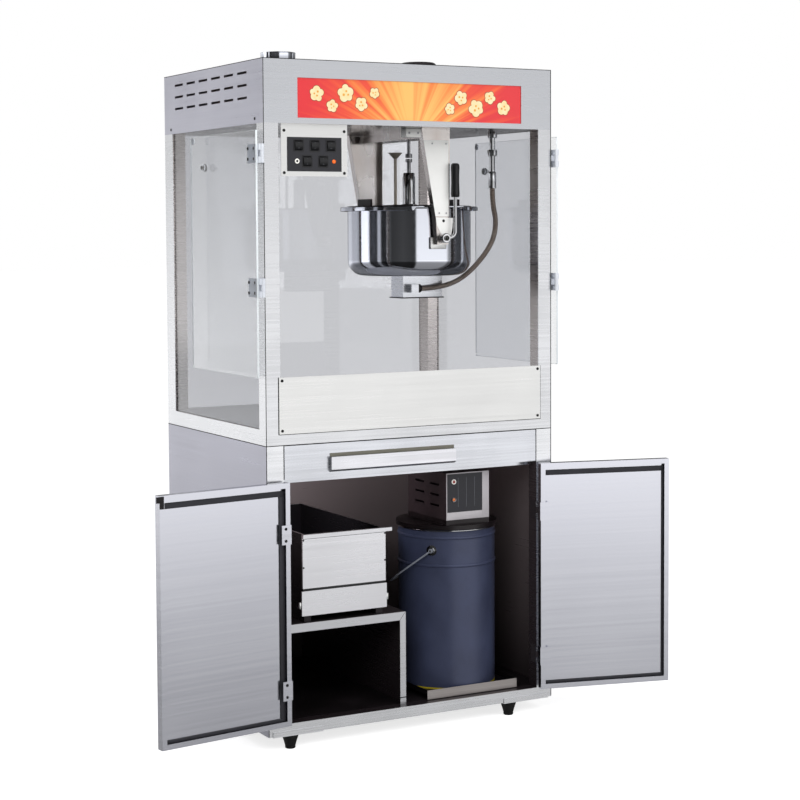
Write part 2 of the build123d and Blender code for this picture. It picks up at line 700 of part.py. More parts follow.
feet = []
for x in (FOOT_LEFT, FOOT_RIGHT):
    for y in (FOOT_Y, DEPTH - FOOT_Y):
        foot = Cone(FOOT_END_R, FOOT_TOP_R, FOOT_H - SHEET + FOOT_DROP)
        feet.append(Pos(x, y, (FOOT_H - SHEET - FOOT_DROP) / 2) * foot)
save("levelling_feet", *feet)

INLET_X = -340.0
INLET_Z = 120.0
inlet = bar_y(INLET_X, DEPTH, DEPTH + 10, INLET_Z, 14)
inlet -= bar_y(INLET_X, DEPTH - 1, DEPTH + 11, INLET_Z, 5)
save("power_inlet", inlet)

# Base doors: folded pan with a rim, recessed liner, wrap-round hinge leaves and edge fittings.
base_x = -BASE_IN + BASE_AXIS_IN
base_y = -BASE_AXIS_FORWARD
door_left = -BASE_IN + BASE_DOOR_EDGE_GAP
door_right = -BASE_DOOR_MID_GAP / 2
SKIN = 1.5
pan = block(door_left, door_right, 0, BASE_DOOR_T, BASE_DOOR_BOTTOM, BASE_DOOR_TOP)
pan -= block(
    door_left + SKIN,
    door_right - SKIN,
    SKIN,
    BASE_DOOR_T - SKIN,
    BASE_DOOR_BOTTOM + SKIN,
    BASE_DOOR_TOP - SKIN,
)
pan -= block(
    door_left + BASE_DOOR_RIM,
    door_right - BASE_DOOR_RIM,
    BASE_DOOR_T - 2 * SKIN,
    BASE_DOOR_T + 1,
    BASE_DOOR_BOTTOM + BASE_DOOR_RIM,
    BASE_DOOR_TOP - BASE_DOOR_RIM,
)
liner_y = BASE_DOOR_T - SKIN - BASE_LINER_RECESS
liner = block(
    door_left + SKIN,
    door_right - SKIN,
    liner_y - SKIN,
    liner_y,
    BASE_DOOR_BOTTOM + SKIN,
    BASE_DOOR_TOP - SKIN,
)


def base_leaf(z):
    """Door half of a base hinge: knuckles, web round the door's edge and inner plate."""
    third = BASE_LEAF_H / 6
    web_x = base_x + SLIDE_GAP
    low_end = z - BASE_LEAF_H / 2
    high_end = z + BASE_LEAF_H / 2
    leaf = block(web_x, web_x + BASE_LEAF_T, 2, BASE_DOOR_T + BASE_LEAF_T, low_end, high_end)
    leaf += block(web_x, web_x + 30, BASE_DOOR_T, BASE_DOOR_T + BASE_LEAF_T, low_end, high_end)
    for low, high in ((z - 3 * third, z - third - SLIDE_GAP), (z + third + SLIDE_GAP, z + 3 * third)):
        leaf += upright(base_x, base_y, low, high, BASE_BARREL_R)
        leaf += block(web_x, web_x + BASE_LEAF_T, base_y, 2, low, high)
    return leaf - upright(base_x, base_y, z - BASE_LEAF_H, z + BASE_LEAF_H, BASE_PIN_R + RUN_GAP)


def base_fixed_leaf(z):
    """Post half of a base hinge: plate on the post's inner side, middle knuckle and pin."""
    third = BASE_LEAF_H / 6
    leaf = block(-BASE_IN, base_x - SLIDE_GAP, 2, 30, z - BASE_LEAF_H / 2, z + BASE_LEAF_H / 2)
    leaf += block(-BASE_IN, base_x - SLIDE_GAP, base_y, 2, z - third, z + third)
    leaf += upright(base_x, base_y, z - third, z + third, BASE_BARREL_R)
    return leaf + upright(base_x, base_y, z - BASE_LEAF_H / 2, z + BASE_LEAF_H / 2, BASE_PIN_R)


HOOK_OUT = 10.0
hook = block(
    door_right - 12,
    door_right + HOOK_OUT,
    BASE_DOOR_T,
    BASE_DOOR_T + SHEET,
    BASE_DOOR_TOP - 18,
    BASE_DOOR_TOP - 2,
)
hook += block(
    door_right - 12, door_right, BASE_DOOR_T, BASE_DOOR_T + SHEET, BASE_DOOR_TOP - 34, BASE_DOOR_TOP - 18
)
hook -= block(
    door_right, door_right + 2 * HOOK_OUT, 0, BASE_DOOR_T + SLIDE_GAP, BASE_DOOR_BOTTOM, BASE_DOOR_TOP
)
PULL_MID = 520.0
PULL_H = 80.0
edge_pull = block(
    -door_right - 10, -door_right + 26, -SHEET, 0, PULL_MID - PULL_H / 2, PULL_MID + PULL_H / 2
)
edge_pull += block(
    -door_right - 10, -door_right - 10 + SHEET, -12, 0, PULL_MID - PULL_H / 2, PULL_MID + PULL_H / 2
)
edge_pull -= block(-door_right - 11, -door_right, -SLIDE_GAP, 1, PULL_MID - PULL_H, PULL_MID + PULL_H)
leaves = [base_leaf(z) for z in BASE_HINGE_Z]
save("left_base_door", *[swing(f, base_x, base_y, -BASE_REST_LEFT) for f in (pan, liner)])
save("left_base_fittings", *[swing(f, base_x, base_y, -BASE_REST_LEFT) for f in leaves + [hook]])
right_door = [mirror(f, about=Plane.YZ) for f in (pan, liner)]
right_fittings = [mirror(f, about=Plane.YZ) for f in leaves] + [edge_pull]
save("right_base_door", *[swing(f, -base_x, base_y, BASE_REST_RIGHT) for f in right_door])
save("right_base_fittings", *[swing(f, -base_x, base_y, BASE_REST_RIGHT) for f in right_fittings])
for z in BASE_HINGE_Z:
    fixed_leaves.extend(both_sides(base_fixed_leaf(z)))
save("fixed_hinge_leaves", *fixed_leaves)

# Runners fixed inside the base for the drawer, the bin and the pail tray.
RUNNER_TOP = DRAWER_BOTTOM + 5
RUNNER_END = DRAWER_LENGTH + 60
drawer_runner = block(
    -inner_half, -BASE_IN + 30, BASE_POST_D, RUNNER_END, RUNNER_TOP - SHEET, RUNNER_TOP
)
drawer_runner += block(
    -BASE_IN, -BASE_IN + SHEET, BASE_POST_D, RUNNER_END, RUNNER_TOP - SHEET, RUNNER_TOP + 22
)
bin_runner_w = 20.0
runners = both_sides(drawer_runner)
bin_runner_end = SHELF_FRONT + BIN_LENGTH
for x in (BIN_LEFT + 7, BIN_RIGHT - 7 - bin_runner_w):
    bin_runner = block(
        x, x + bin_runner_w, SHELF_FRONT + 12, bin_runner_end, SHELF_TOP, BIN_BOTTOM - SLIDE_GAP
    )
    runners.append(bin_runner)
tray_left = PAIL_X - TRAY_W / 2
tray_right = PAIL_X + TRAY_W / 2
for x in (tray_left + 24, tray_right - 44):
    runners.append(block(x, x + 20, BASE_POST_D + 4, TRAY_LENGTH, RAIL_TOP, TRAY_BOTTOM - SLIDE_GAP))
save("slide_runners", *runners)

# Kernel drawer: folded front with a pull, and its tray.
front_half = BASE_IN - DRAWER_GAP
drawer = block(-front_half, front_half, 0, DRAWER_FRONT_T, DRAWER_BOTTOM, DRAWER_TOP)
drawer -= block(
    -front_half + SKIN,
    front_half - SKIN,
    SKIN,
    DRAWER_FRONT_T - SKIN,
    DRAWER_BOTTOM + SKIN,
    DRAWER_TOP - SKIN,
)
drawer -= block(PULL_LEFT, PULL_RIGHT, -1, SKIN + 1, PULL_TOP - PULL_SLOT, PULL_TOP)
lip_top = PULL_TOP - PULL_SLOT
lip = outline_x(
    [
        (0, lip_top),
        (-PULL_OUT, lip_top),
        (-PULL_OUT, PULL_BOTTOM + PULL_SLOPE),
        (-PULL_FOOT, PULL_BOTTOM),
        (0, PULL_BOTTOM),
    ],
    PULL_LEFT,
    PULL_RIGHT,
)
drawer += lip
TRAY_WALL = 1.5
drawer_tray = open_tray(
    -front_half + 6,
    front_half - 6,
    DRAWER_FRONT_T,
    DRAWER_LENGTH,
    RUNNER_TOP + SLIDE_GAP,
    DRAWER_TOP - 16,
    TRAY_WALL,
)
save("kernel_drawer", drawer, drawer_tray)

# Shelf under the bin: plate with a front lip, and an upright leg at its right end.
shelf = block(-inner_half, SHELF_RIGHT, BASE_POST_D, DEPTH - SHEET, SHELF_TOP - SHEET, SHELF_TOP)
shelf += block(-BASE_IN, SHELF_RIGHT, SHELF_FRONT, BASE_POST_D, SHELF_TOP - SHEET, SHELF_TOP)
shelf += block(
    -BASE_IN, SHELF_RIGHT, SHELF_FRONT, SHELF_FRONT + SHEET, SHELF_TOP - SHELF_LIP, SHELF_TOP
)
LEG_LIP = 18.0
shelf += block(
    SHELF_RIGHT - SHEET, SHELF_RIGHT, BASE_POST_D, DEPTH - SHEET, RAIL_TOP, SHELF_TOP
)
shelf += block(
    SHELF_RIGHT - SHEET, SHELF_RIGHT, SHELF_FRONT, BASE_POST_D, RAIL_TOP, SHELF_TOP
)
shelf += block(
    SHELF_RIGHT - LEG_LIP, SHELF_RIGHT, SHELF_FRONT, SHELF_FRONT + SHEET, RAIL_TOP, SHELF_TOP
)
save("bin_shelf", shelf)

# Corn bin: open box behind a two-panel front with a lip along the top.
BIN_SEAM = 405.7
bin_body = open_tray(
    BIN_LEFT + 7, BIN_RIGHT - 7, BIN_FRONT + 6, BIN_FRONT + BIN_LENGTH, BIN_BOTTOM, BIN_TOP, TRAY_WALL
)
bin_body += block(BIN_LEFT, BIN_RIGHT, BIN_FRONT, BIN_FRONT + 6, BIN_SEAM + 7, BIN_TOP)
bin_body += block(BIN_LEFT - 3, BIN_RIGHT + 3, BIN_FRONT, BIN_FRONT + 6, BIN_BOTTOM + 1, BIN_SEAM)
bin_body += block(BIN_LEFT, BIN_RIGHT + 18, BIN_FRONT - 5, BIN_FRONT, BIN_TOP - 10, BIN_TOP)
save("corn_bin", bin_body)

# Pail tray, pail with beads, and the pump that sits on the pail.
pail_tray = block(
    tray_left, tray_right, TRAY_FRONT, TRAY_FRONT + TRAY_LENGTH, TRAY_BOTTOM, TRAY_BOTTOM + SHEET
)
pail_tray += block(
    tray_left, tray_right, TRAY_FRONT, TRAY_FRONT + SHEET, RAIL_TOP + 2, RAIL_TOP + 2 + TRAY_LIP
)
for x in (tray_left, tray_right - SHEET):
    pail_tray += block(
        x, x + SHEET, TRAY_FRONT, TRAY_FRONT + TRAY_LENGTH, TRAY_BOTTOM, RAIL_TOP + 2 + TRAY_LIP
    )
save("pail_tray", pail_tray)

PAIL_WALL = 1.5
BEAD = 3.0
pail_low = TRAY_BOTTOM + SHEET
bead_one = PAIL_TOP - 24.5
bead_two = PAIL_TOP - 104.5
pail = turned(
    PAIL_X,
    PAIL_Y,
    [
        (0, pail_low),
        (PAIL_R, pail_low),
        (PAIL_R, bead_two - BEAD),
        (PAIL_R + BEAD, bead_two),
        (PAIL_R, bead_two + BEAD),
        (PAIL_R, bead_one - BEAD),
        (PAIL_R + BEAD, bead_one),
        (PAIL_R, bead_one + BEAD),
        (PAIL_R, PAIL_TOP - BEAD),
        (PAIL_R + BEAD, PAIL_TOP - BEAD),
        (PAIL_R + BEAD, PAIL_TOP),
        (PAIL_R - PAIL_WALL, PAIL_TOP),
        (PAIL_R - PAIL_WALL, pail_low + PAIL_WALL),
        (0, pail_low + PAIL_WALL),
    ],
)
EAR_R = 9.0
EAR_OUT = 6.0
EAR_PIN_R = 3.0
EAR_PIN_OUT = 14.0
ear = bar_x(PAIL_R - 1, PAIL_R + EAR_OUT, 0, BAIL_Z, EAR_R)
ear += bar_x(PAIL_R, PAIL_R + EAR_PIN_OUT, 0, BAIL_Z, EAR_PIN_R)
ear_turn = 90 - BAIL_TURN
for turn in (ear_turn, ear_turn + 180):
    pail += Pos(PAIL_X, PAIL_Y, 0) * Rot(0, 0, turn) * ear
pail -= upright(PAIL_X, PAIL_Y, pail_low + PAIL_WALL, PAIL_TOP + 1, PAIL_R - PAIL_WALL)
save("oil_pail", pail)

# Bail of the pail: a bent wire with an eye round each ear, drooping to the left rear.
WIRE_R = 2.5
BAIL_REACH = 185.0
BAIL_BEND = 110.0
EYE_R = 6.0
EYE_T = 4.0
eye_mid = PAIL_R + EAR_OUT + SWING_GAP + EYE_T / 2
wire_path = FilletPolyline(
    (-eye_mid, EYE_R - 1, 0),
    (-eye_mid, BAIL_REACH, 0),
    (eye_mid, BAIL_REACH, 0),
    (eye_mid, EYE_R - 1, 0),
    radius=BAIL_BEND,
)
bail = sweep(Plane(wire_path @ 0, z_dir=wire_path % 0) * Circle(WIRE_R), path=wire_path)
for x in (-eye_mid, eye_mid):
    bail += bar_x(x - EYE_T / 2, x + EYE_T / 2, 0, 0, EYE_R)
    bail -= bar_x(x - EYE_T, x + EYE_T, 0, 0, EAR_PIN_R + RUN_GAP)
save("pail_bail", Pos(PAIL_X, PAIL_Y, BAIL_Z) * Rot(0, 0, ear_turn) * Rot(-BAIL_DROOP, 0, 0) * bail)

# Pump on the pail: lid with a pick-up tube, louvred housing, face plate and lamps.
PUMP_WALL = 2.0
pump_left = PAIL_X - PUMP_W / 2 - 1
pump_right = pump_left + PUMP_W
pump_rear = PUMP_FRONT + PUMP_LENGTH
pump_lid = upright(PAIL_X, PAIL_Y, PAIL_TOP, PUMP_BOTTOM, PAIL_R + BEAD + 4)
pump_lid += upright(PAIL_X, PAIL_Y, pail_low + 30, PAIL_TOP, 9)
housing_box = block(pump_left, pump_right, PUMP_FRONT, pump_rear, PUMP_BOTTOM, PUMP_TOP)
housing_box -= block(
    pump_left + PUMP_WALL,
    pump_right - PUMP_WALL,
    PUMP_FRONT + PUMP_WALL,
    pump_rear - PUMP_WALL,
    PUMP_BOTTOM - 1,
    PUMP_TOP - PUMP_WALL,
)
LOUVRE_L = 52.0
LOUVRE_H = 6.0
for row in range(3):
    louvre_z = PUMP_BOTTOM + 52 + row * 30
    for column in range(2):
        louvre_y = PUMP_FRONT + 42 + column * 86
        housing_box -= block(
            pump_left - 1,
            pump_right + 1,
            louvre_y,
            louvre_y + LOUVRE_L,
            louvre_z - LOUVRE_H / 2,
            louvre_z + LOUVRE_H / 2,
        )
save("pump_housing", pump_lid, housing_box)
PUMP_FACE_IN = 3.0
PUMP_FACE_RIGHT = 23.0
PUMP_FACE_LOW = 37.0
pump_face = block(
    pump_left + PUMP_FACE_IN,
    pump_right - PUMP_FACE_RIGHT,
    PUMP_FRONT - FACE_T,
    PUMP_FRONT,
    PUMP_BOTTOM + PUMP_FACE_LOW,
    PUMP_TOP - PUMP_FACE_IN,
)
save("pump_face", pump_face)
pump_lamp_x = pump_left + 24
pump_lamps = [
    bar_y(pump_lamp_x, PUMP_FRONT - FACE_T - LAMP_STAND, PUMP_FRONT - FACE_T, PUMP_TOP - drop, 7)
    for drop in (25, 76)
]
save("pump_lamps", *pump_lamps)

# Kettle pot with its rim, and the trunnions that carry it.
pot = upright(KETTLE_X, KETTLE_Y, KETTLE_BOTTOM, KETTLE_RIM, KETTLE_R)
pot = fillet(pot.edges().group_by(Axis.Z)[0], KETTLE_EDGE_R)
room_r = KETTLE_R - KETTLE_WALL
pot_room = upright(KETTLE_X, KETTLE_Y, KETTLE_BOTTOM + KETTLE_WALL, KETTLE_RIM + 20, room_r)
pot_room = fillet(pot_room.edges().group_by(Axis.Z)[0], KETTLE_EDGE_R - KETTLE_WALL)
rim_low = KETTLE_RIM - FLANGE_H
rim = upright(KETTLE_X, KETTLE_Y, rim_low, KETTLE_RIM, FLANGE_R)
rim -= upright(KETTLE_X, KETTLE_Y, rim_low - 1, KETTLE_RIM - KETTLE_WALL, FLANGE_R - KETTLE_WALL)
rim += upright(KETTLE_X, KETTLE_Y, rim_low, KETTLE_RIM, KETTLE_R)
rim &= block(
    KETTLE_X - FLANGE_R,
    KETTLE_X + FLANGE_R,
    KETTLE_Y - FLANGE_FLAT,
    KETTLE_Y + FLANGE_FLAT,
    rim_low,
    KETTLE_RIM,
)
BLOCK_W = 58.0
BLOCK_H = 30.0
HUB_R = 14.0
hub_back = arm_front - SWING_GAP
hub_front = arm_front - HANDLE_FORWARD - HANDLE_R - 1
trunnion_block = block(
    PIVOT_X - BLOCK_W / 2,
    PIVOT_X + BLOCK_W / 2,
    arm_back + SWING_GAP,
    KETTLE_Y - KETTLE_R + 12,
    PIVOT_Z - BLOCK_H + 6,
    PIVOT_Z + 6,
)
trunnion = trunnion_block + bar_y(PIVOT_X, hub_back, KETTLE_Y - KETTLE_R + 6, PIVOT_Z, PIVOT_R)
rear_trunnion = mirror(trunnion, about=Plane.XZ.offset(-KETTLE_Y))
pot += rim
pot += trunnion
pot += rear_trunnion
pot -= pot_room
save("kettle_pot", pot)

# Bridge across the rim with the stirrer's bearing sleeve and the oil funnel.
bridge_left = KETTLE_X - BRIDGE_W / 2 - 9
bridge_right = bridge_left + BRIDGE_W
bridge_top = KETTLE_RIM + BRIDGE_T
bridge = block(
    bridge_left,
    bridge_right,
    KETTLE_Y - KETTLE_R + 4,
    KETTLE_Y + KETTLE_R - 4,
    KETTLE_RIM,
    bridge_top,
)
bridge += upright(KETTLE_X, KETTLE_Y, bridge_top, SLEEVE_TOP, SLEEVE_R)
bridge -= upright(KETTLE_X, KETTLE_Y, KETTLE_RIM - 1, SLEEVE_TOP + 1, SHAFT_R + RUN_GAP)
FUNNEL_MOUTH_R = 21.0
FUNNEL_TUBE_R = 4.5
FUNNEL_BORE = 3.0
funnel_x = KETTLE_X + FUNNEL_DX
bridge -= upright(funnel_x, KETTLE_Y, KETTLE_RIM - 1, bridge_top + 1, FUNNEL_TUBE_R - 0.5)
funnel = turned(
    funnel_x,
    KETTLE_Y,
    [
        (FUNNEL_BORE, bridge_top),
        (FUNNEL_TUBE_R, bridge_top),
        (FUNNEL_TUBE_R, FUNNEL_TOP - 16),
        (FUNNEL_MOUTH_R, FUNNEL_TOP),
        (FUNNEL_MOUTH_R - 2, FUNNEL_TOP),
        (FUNNEL_BORE, FUNNEL_TOP - 15),
    ],
)

# Two lids, each turning on pins between lugs on the bridge.
LID_SHEET = 2.0
LID_BARREL_R = 3.0
LID_PIN_R = 1.5
LID_TONGUE = 4.0
LUG_T = 7.0
lid_r = KETTLE_R + 1
lid_low = KETTLE_RIM + SLIDE_GAP
barrel_z = lid_low + LID_BARREL_R
barrel_half = lid_r * 0.6
disc = upright(KETTLE_X, KETTLE_Y, lid_low, lid_low + LID_SHEET, lid_r)


def lid_lugs(edge, inner):
    """Lugs and pins beside one lid's barrel, from the bridge's edge out to the barrel."""
    low_x = min(edge - LID_BARREL_R, inner) if edge < inner else inner
    high_x = inner if edge < inner else max(edge + LID_BARREL_R, inner)
    lugs = []
    for side in (-1, 1):
        near = KETTLE_Y + side * (barrel_half + SLIDE_GAP)
        far = near + side * LUG_T
        pin_end = near - side * 10
        lug = block(low_x, high_x, min(near, far), max(near, far), lid_low, barrel_z + LID_BARREL_R)
        lugs.append(lug + bar_y(edge, min(pin_end, near), max(pin_end, near), barrel_z, LID_PIN_R))
    return lugs


lugs = []
for name, side, inner in (("left", -1, bridge_left), ("right", 1, bridge_right)):
    edge = inner + side * (LID_BARREL_R + SLIDE_GAP)
    plate_edge = edge + side * LID_TONGUE
    far_edge = KETTLE_X + side * lid_r
    lid = disc & block(
        min(plate_edge, far_edge),
        max(plate_edge, far_edge),
        KETTLE_Y - lid_r,
        KETTLE_Y + lid_r,
        lid_low - 1,
        lid_low + LID_SHEET + 1,
    )
    lid += block(
        min(edge, plate_edge),
        max(edge, plate_edge),
        KETTLE_Y - barrel_half,
        KETTLE_Y + barrel_half,
        lid_low,
        lid_low + LID_SHEET,
    )
    lid += bar_y(edge, KETTLE_Y - barrel_half, KETTLE_Y + barrel_half, barrel_z, LID_BARREL_R)
    grip_x = far_edge - side * 36
    lid += block(grip_x - 3, grip_x + 3, KETTLE_Y - 40, KETTLE_Y + 40, lid_low, lid_low + 22)
    lid -= bar_y(edge, KETTLE_Y - lid_r, KETTLE_Y + lid_r, barrel_z, LID_PIN_R + RUN_GAP)
    save(f"{name}_kettle_lid", lid)
    lugs.extend(lid_lugs(edge, inner))
for lug in lugs:
    bridge += lug
save("kettle_bridge", bridge, funnel)

# Heater box under the pot, with the elbow that takes the conduit.
BOX_WALL = 2.0
box_x = PIVOT_X + BOX_DX
box_front = KETTLE_Y - BOX_D / 2
heater_box = open_tray(
    box_x - BOX_W / 2,
    box_x + BOX_W / 2,
    box_front,
    KETTLE_Y + BOX_D / 2,
    BOX_BOTTOM,
    KETTLE_BOTTOM,
    BOX_WALL,
)
heater_box += block(
    box_x - BOX_W / 2 - 4,
    box_x + BOX_W / 2 + 4,
    box_front - 4,
    KETTLE_Y + BOX_D / 2 + 4,
    BOX_BOTTOM - 3,
    BOX_BOTTOM,
)
elbow_x = box_x + ELBOW_DX
ELBOW_HALF = 12.0
NIPPLE_L = 12.0
elbow_y = box_front - ELBOW_HALF
elbow = block(
    elbow_x - ELBOW_HALF,
    elbow_x + ELBOW_HALF,
    elbow_y - ELBOW_HALF,
    box_front,
    ELBOW_Z - ELBOW_HALF,
    ELBOW_Z + ELBOW_HALF,
)
nipple_end = elbow_x + ELBOW_HALF + NIPPLE_L
elbow += bar_x(elbow_x + ELBOW_HALF, nipple_end, elbow_y, ELBOW_Z, CONDUIT_R + 2)
save("heater_box", heater_box, elbow)

# Dump handle on the front trunnion, and its grip.
handle_y = arm_front - HANDLE_FORWARD
handle_path = FilletPolyline(
    (PIVOT_X, handle_y, PIVOT_Z),
    (PIVOT_X + HANDLE_DX, handle_y, PIVOT_Z),
    (PIVOT_X + HANDLE_DX, handle_y, GRIP_TOP - 3),
    radius=20,
)
handle = sweep(Plane(handle_path @ 0, z_dir=handle_path % 0) * Circle(HANDLE_R), path=handle_path)
handle += bar_y(PIVOT_X, hub_front, hub_back, PIVOT_Z, HUB_R)
save("dump_handle", handle)
grip = upright(PIVOT_X + HANDLE_DX, handle_y, GRIP_BOTTOM, GRIP_TOP, GRIP_R)
grip = fillet(grip.edges(), 3)
grip -= upright(PIVOT_X + HANDLE_DX, handle_y, GRIP_BOTTOM - 1, GRIP_TOP - 3, HANDLE_R)
save("handle_grip", grip)

# Stirrer: shaft through the bridge with a dog on top and a blade on the kettle floor.
BLADE_R = 148.0
blade_z = KETTLE_BOTTOM + KETTLE_WALL + 6
agitator = upright(KETTLE_X, KETTLE_Y, blade_z, DOG_TOP - 10, SHAFT_R)
agitator += upright(KETTLE_X, KETTLE_Y, DOG_TOP - 10, DOG_TOP, DOG_R)
CROSS_R = BLADE_R * 0.7
blade_top = blade_z + 4
agitator += block(KETTLE_X - BLADE_R, KETTLE_X + BLADE_R, KETTLE_Y - 10, KETTLE_Y + 10, blade_z, blade_top)
agitator += block(KETTLE_X - 8, KETTLE_X + 8, KETTLE_Y - CROSS_R, KETTLE_Y + CROSS_R, blade_z, blade_top)
save("agitator", agitator)

# Ceiling fittings: conduit pipe with its nuts and a small junction block.
pipe = upright(PIPE_X, PIPE_Y, PIPE_END, HEADER_BOTTOM, CONDUIT_R)
for nut_mid in (HEADER_BOTTOM - 18, HEADER_BOTTOM - 70):
    pipe += Pos(PIPE_X, PIPE_Y, nut_mid) * extrude(RegularPolygon(14, 6), amount=18)
SLEEVE_LOW_R = 12.0
pipe += upright(PIPE_X, PIPE_Y, PIPE_END, PIPE_END + 46, SLEEVE_LOW_R)
junction = block(32, 80, arm_front - 10, arm_back, HEADER_BOTTOM - BEAM_H, HEADER_BOTTOM)
save("ceiling_fittings", pipe, junction)

# Flexible conduit from the ceiling pipe to the heater box.
route = [
    (PIPE_X, PIPE_Y, PIPE_END),
    (PIPE_X, PIPE_Y, PIPE_END - 41),
    (PIPE_X + 20, PIPE_Y + 8, PIPE_END - 105),
    (PIPE_X + 10, PIPE_Y + 26, PIPE_END - 173),
    (PIPE_X - 47, elbow_y - 36, ELBOW_Z + 31),
    (nipple_end + 67, elbow_y, ELBOW_Z),
    (nipple_end, elbow_y, ELBOW_Z),
]


def bend_radii(points):
    """Radius at each inner corner, from the shorter run beside it and the turn there."""
    radii = []
    for before, here, after in zip(points, points[1:], points[2:]):
        run_in = Vector(*here) - Vector(*before)
        run_out = Vector(*after) - Vector(*here)
        half_turn = radians(run_in.get_angle(run_out)) / 2
        radii.append(0.45 * min(run_in.length, run_out.length) / tan(half_turn))
    return radii


radii = bend_radii(route)
conduit_path = FilletPolyline(*route, radius=radii)
conduit = sweep(Plane(conduit_path @ 0, z_dir=conduit_path % 0) * Circle(CONDUIT_R), path=conduit_path)
save("kettle_conduit", conduit)
print("conduit radii", [round(r, 1) for r in radii], "length", round(conduit_path.length, 1))
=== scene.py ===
"""Looks of the floor-standing popcorn machine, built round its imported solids.

Lengths inside the classes are millimetres laid out as the machine is measured: X from the
middle, Y back from the cabinet's front plane, Z up from a level a little above the floor.
at() turns them into metres of the shared frame.
"""

import logging
import math
from dataclasses import dataclass
from enum import Enum
from typing import Optional, Sequence

import bmesh
import bpy
import numpy as np
from mathutils import Matrix, Vector


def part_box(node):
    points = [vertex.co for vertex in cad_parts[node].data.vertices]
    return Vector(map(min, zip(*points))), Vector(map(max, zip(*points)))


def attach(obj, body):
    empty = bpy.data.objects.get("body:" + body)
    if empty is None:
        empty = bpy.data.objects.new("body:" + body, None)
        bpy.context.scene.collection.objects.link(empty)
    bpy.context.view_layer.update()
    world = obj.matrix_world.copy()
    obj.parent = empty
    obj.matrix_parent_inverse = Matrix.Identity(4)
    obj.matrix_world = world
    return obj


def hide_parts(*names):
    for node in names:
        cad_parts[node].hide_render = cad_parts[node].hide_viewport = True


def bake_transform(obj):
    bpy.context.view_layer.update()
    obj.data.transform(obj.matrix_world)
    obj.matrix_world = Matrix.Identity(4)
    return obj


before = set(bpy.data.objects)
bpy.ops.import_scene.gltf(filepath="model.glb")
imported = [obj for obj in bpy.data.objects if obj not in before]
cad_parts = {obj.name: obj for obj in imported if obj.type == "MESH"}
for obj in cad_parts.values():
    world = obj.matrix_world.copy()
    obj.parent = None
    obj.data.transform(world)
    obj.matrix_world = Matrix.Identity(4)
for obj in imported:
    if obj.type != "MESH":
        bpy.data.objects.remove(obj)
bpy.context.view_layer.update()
HEADER_LOW = 1666.0
ORIGIN = np.array(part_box("header_front_panel")[0]) * (0.0, 1000.0, 1000.0) - (0.0, 0.0, HEADER_LOW)
log = logging.getLogger("popcorn_machine")

Point = Sequence[float]
Pair = tuple[float, float]
Triple = tuple[float, float, float]
Pairs = tuple[Pair, ...]
Profile = Pairs
Rectangle = tuple[float, float, float, float]
Face = tuple[float, float, float, float, float]
Box = tuple[Point, Point]
Colour = tuple[float, float, float, float]
Tree = bpy.types.NodeTree
Node = bpy.types.Node
Socket = bpy.types.NodeSocket

WHITE: Colour = (1.0, 1.0, 1.0, 1.0)
# Most values of Blender's noise lie between these two.
NOISE_SPAN = {"From Min": 0.3, "From Max": 0.7}
# Edges that bend by more than this are shaded sharp.
SHARP_FROM = math.radians(38)
# An eased edge takes at most this share of a size.
EASED_SHARE = 0.45
# Thickness in millimetres of a thin facing sheet.
FACING = 0.4


def at(points: Sequence) -> np.ndarray:
    """Places in millimetres from the front plane, as metres in the shared frame.

    Args:
        points: one place or an array of places.

    Returns:
        The same shape of array, each place shifted to the frame's origin and divided by 1000.
    """
    return (np.asarray(points, float) + ORIGIN) / 1000.0


def linear(hex_code: str) -> Colour:
    """Linear colour of an sRGB hex value, channel by channel along the sRGB curve.

    Args:
        hex_code: colour such as "#c4c6c8".

    Returns:
        Red, green, blue and an alpha of one.
    """
    channels = np.array([int(hex_code[i : i + 2], 16) for i in (1, 3, 5)]) / 255.0
    toe = channels / 12.92
    curve = ((channels + 0.055) / 1.055) ** 2.4
    return (*np.where(channels <= 0.04045, toe, curve).tolist(), 1.0)


def add_node(
    tree: Tree,
    kind: str,
    settings: Optional[dict] = None,
    links: Optional[dict] = None,
    stops: Sequence[tuple[float, Colour]] = (),
) -> Node:
    """One node with its settings and links.

    Args:
        tree: the node tree that takes it.
        kind: Blender's name for the kind of node, after its ShaderNode.
        settings: properties, or values of inputs, by name or number.
        links: sockets to join to inputs, by name or number.
        stops: pairs of share and colour, for a node that has a ramp of colours.

    Returns:
        The new node.
    """
    node = tree.nodes.new(f"ShaderNode{kind}")
    for key, value in (settings or {}).items():
        if isinstance(key, str) and hasattr(node, key):
            setattr(node, key, value)
        else:
            node.inputs[key].default_value = value
    for key, socket in (links or {}).items():
        tree.links.new(socket, node.inputs[key])
    if stops:
        elements = node.color_ramp.elements
        while len(elements) < len(stops):
            elements.new(0.5)
        for element, (share, colour) in zip(elements, stops):
            element.position = share
            element.color = colour
    return node


class Side(Enum):
    """The two doors of a pair; the value is the word in the names of their pieces and bodies."""

    LEFT = "left"
    RIGHT = "right"


class Along(Enum):
    """Which way a shape's own height points; the rows say where its x, y and height go."""

    UP = ((1, 0, 0), (0, 1, 0), (0, 0, 1))
    FRONT = ((1, 0, 0), (0, 0, 1), (0, -1, 0))
    REAR = ((-1, 0, 0), (0, 0, 1), (0, 1, 0))
    LEFT = ((0, -1, 0), (0, 0, 1), (-1, 0, 0))
    RIGHT = ((0, 1, 0), (0, 0, 1), (1, 0, 0))


def upright_turn(degrees: float) -> np.ndarray:
    """Matrix of a turn about an upright axis through zero.

    Args:
        degrees: the turn, anticlockwise from above.

    Returns:
        Three rows of three.
    """
    angle = math.radians(degrees)
    cosine, sine = math.cos(angle), math.sin(angle)
    return np.array([[cosine, -sine, 0], [sine, cosine, 0], [0, 0, 1]])


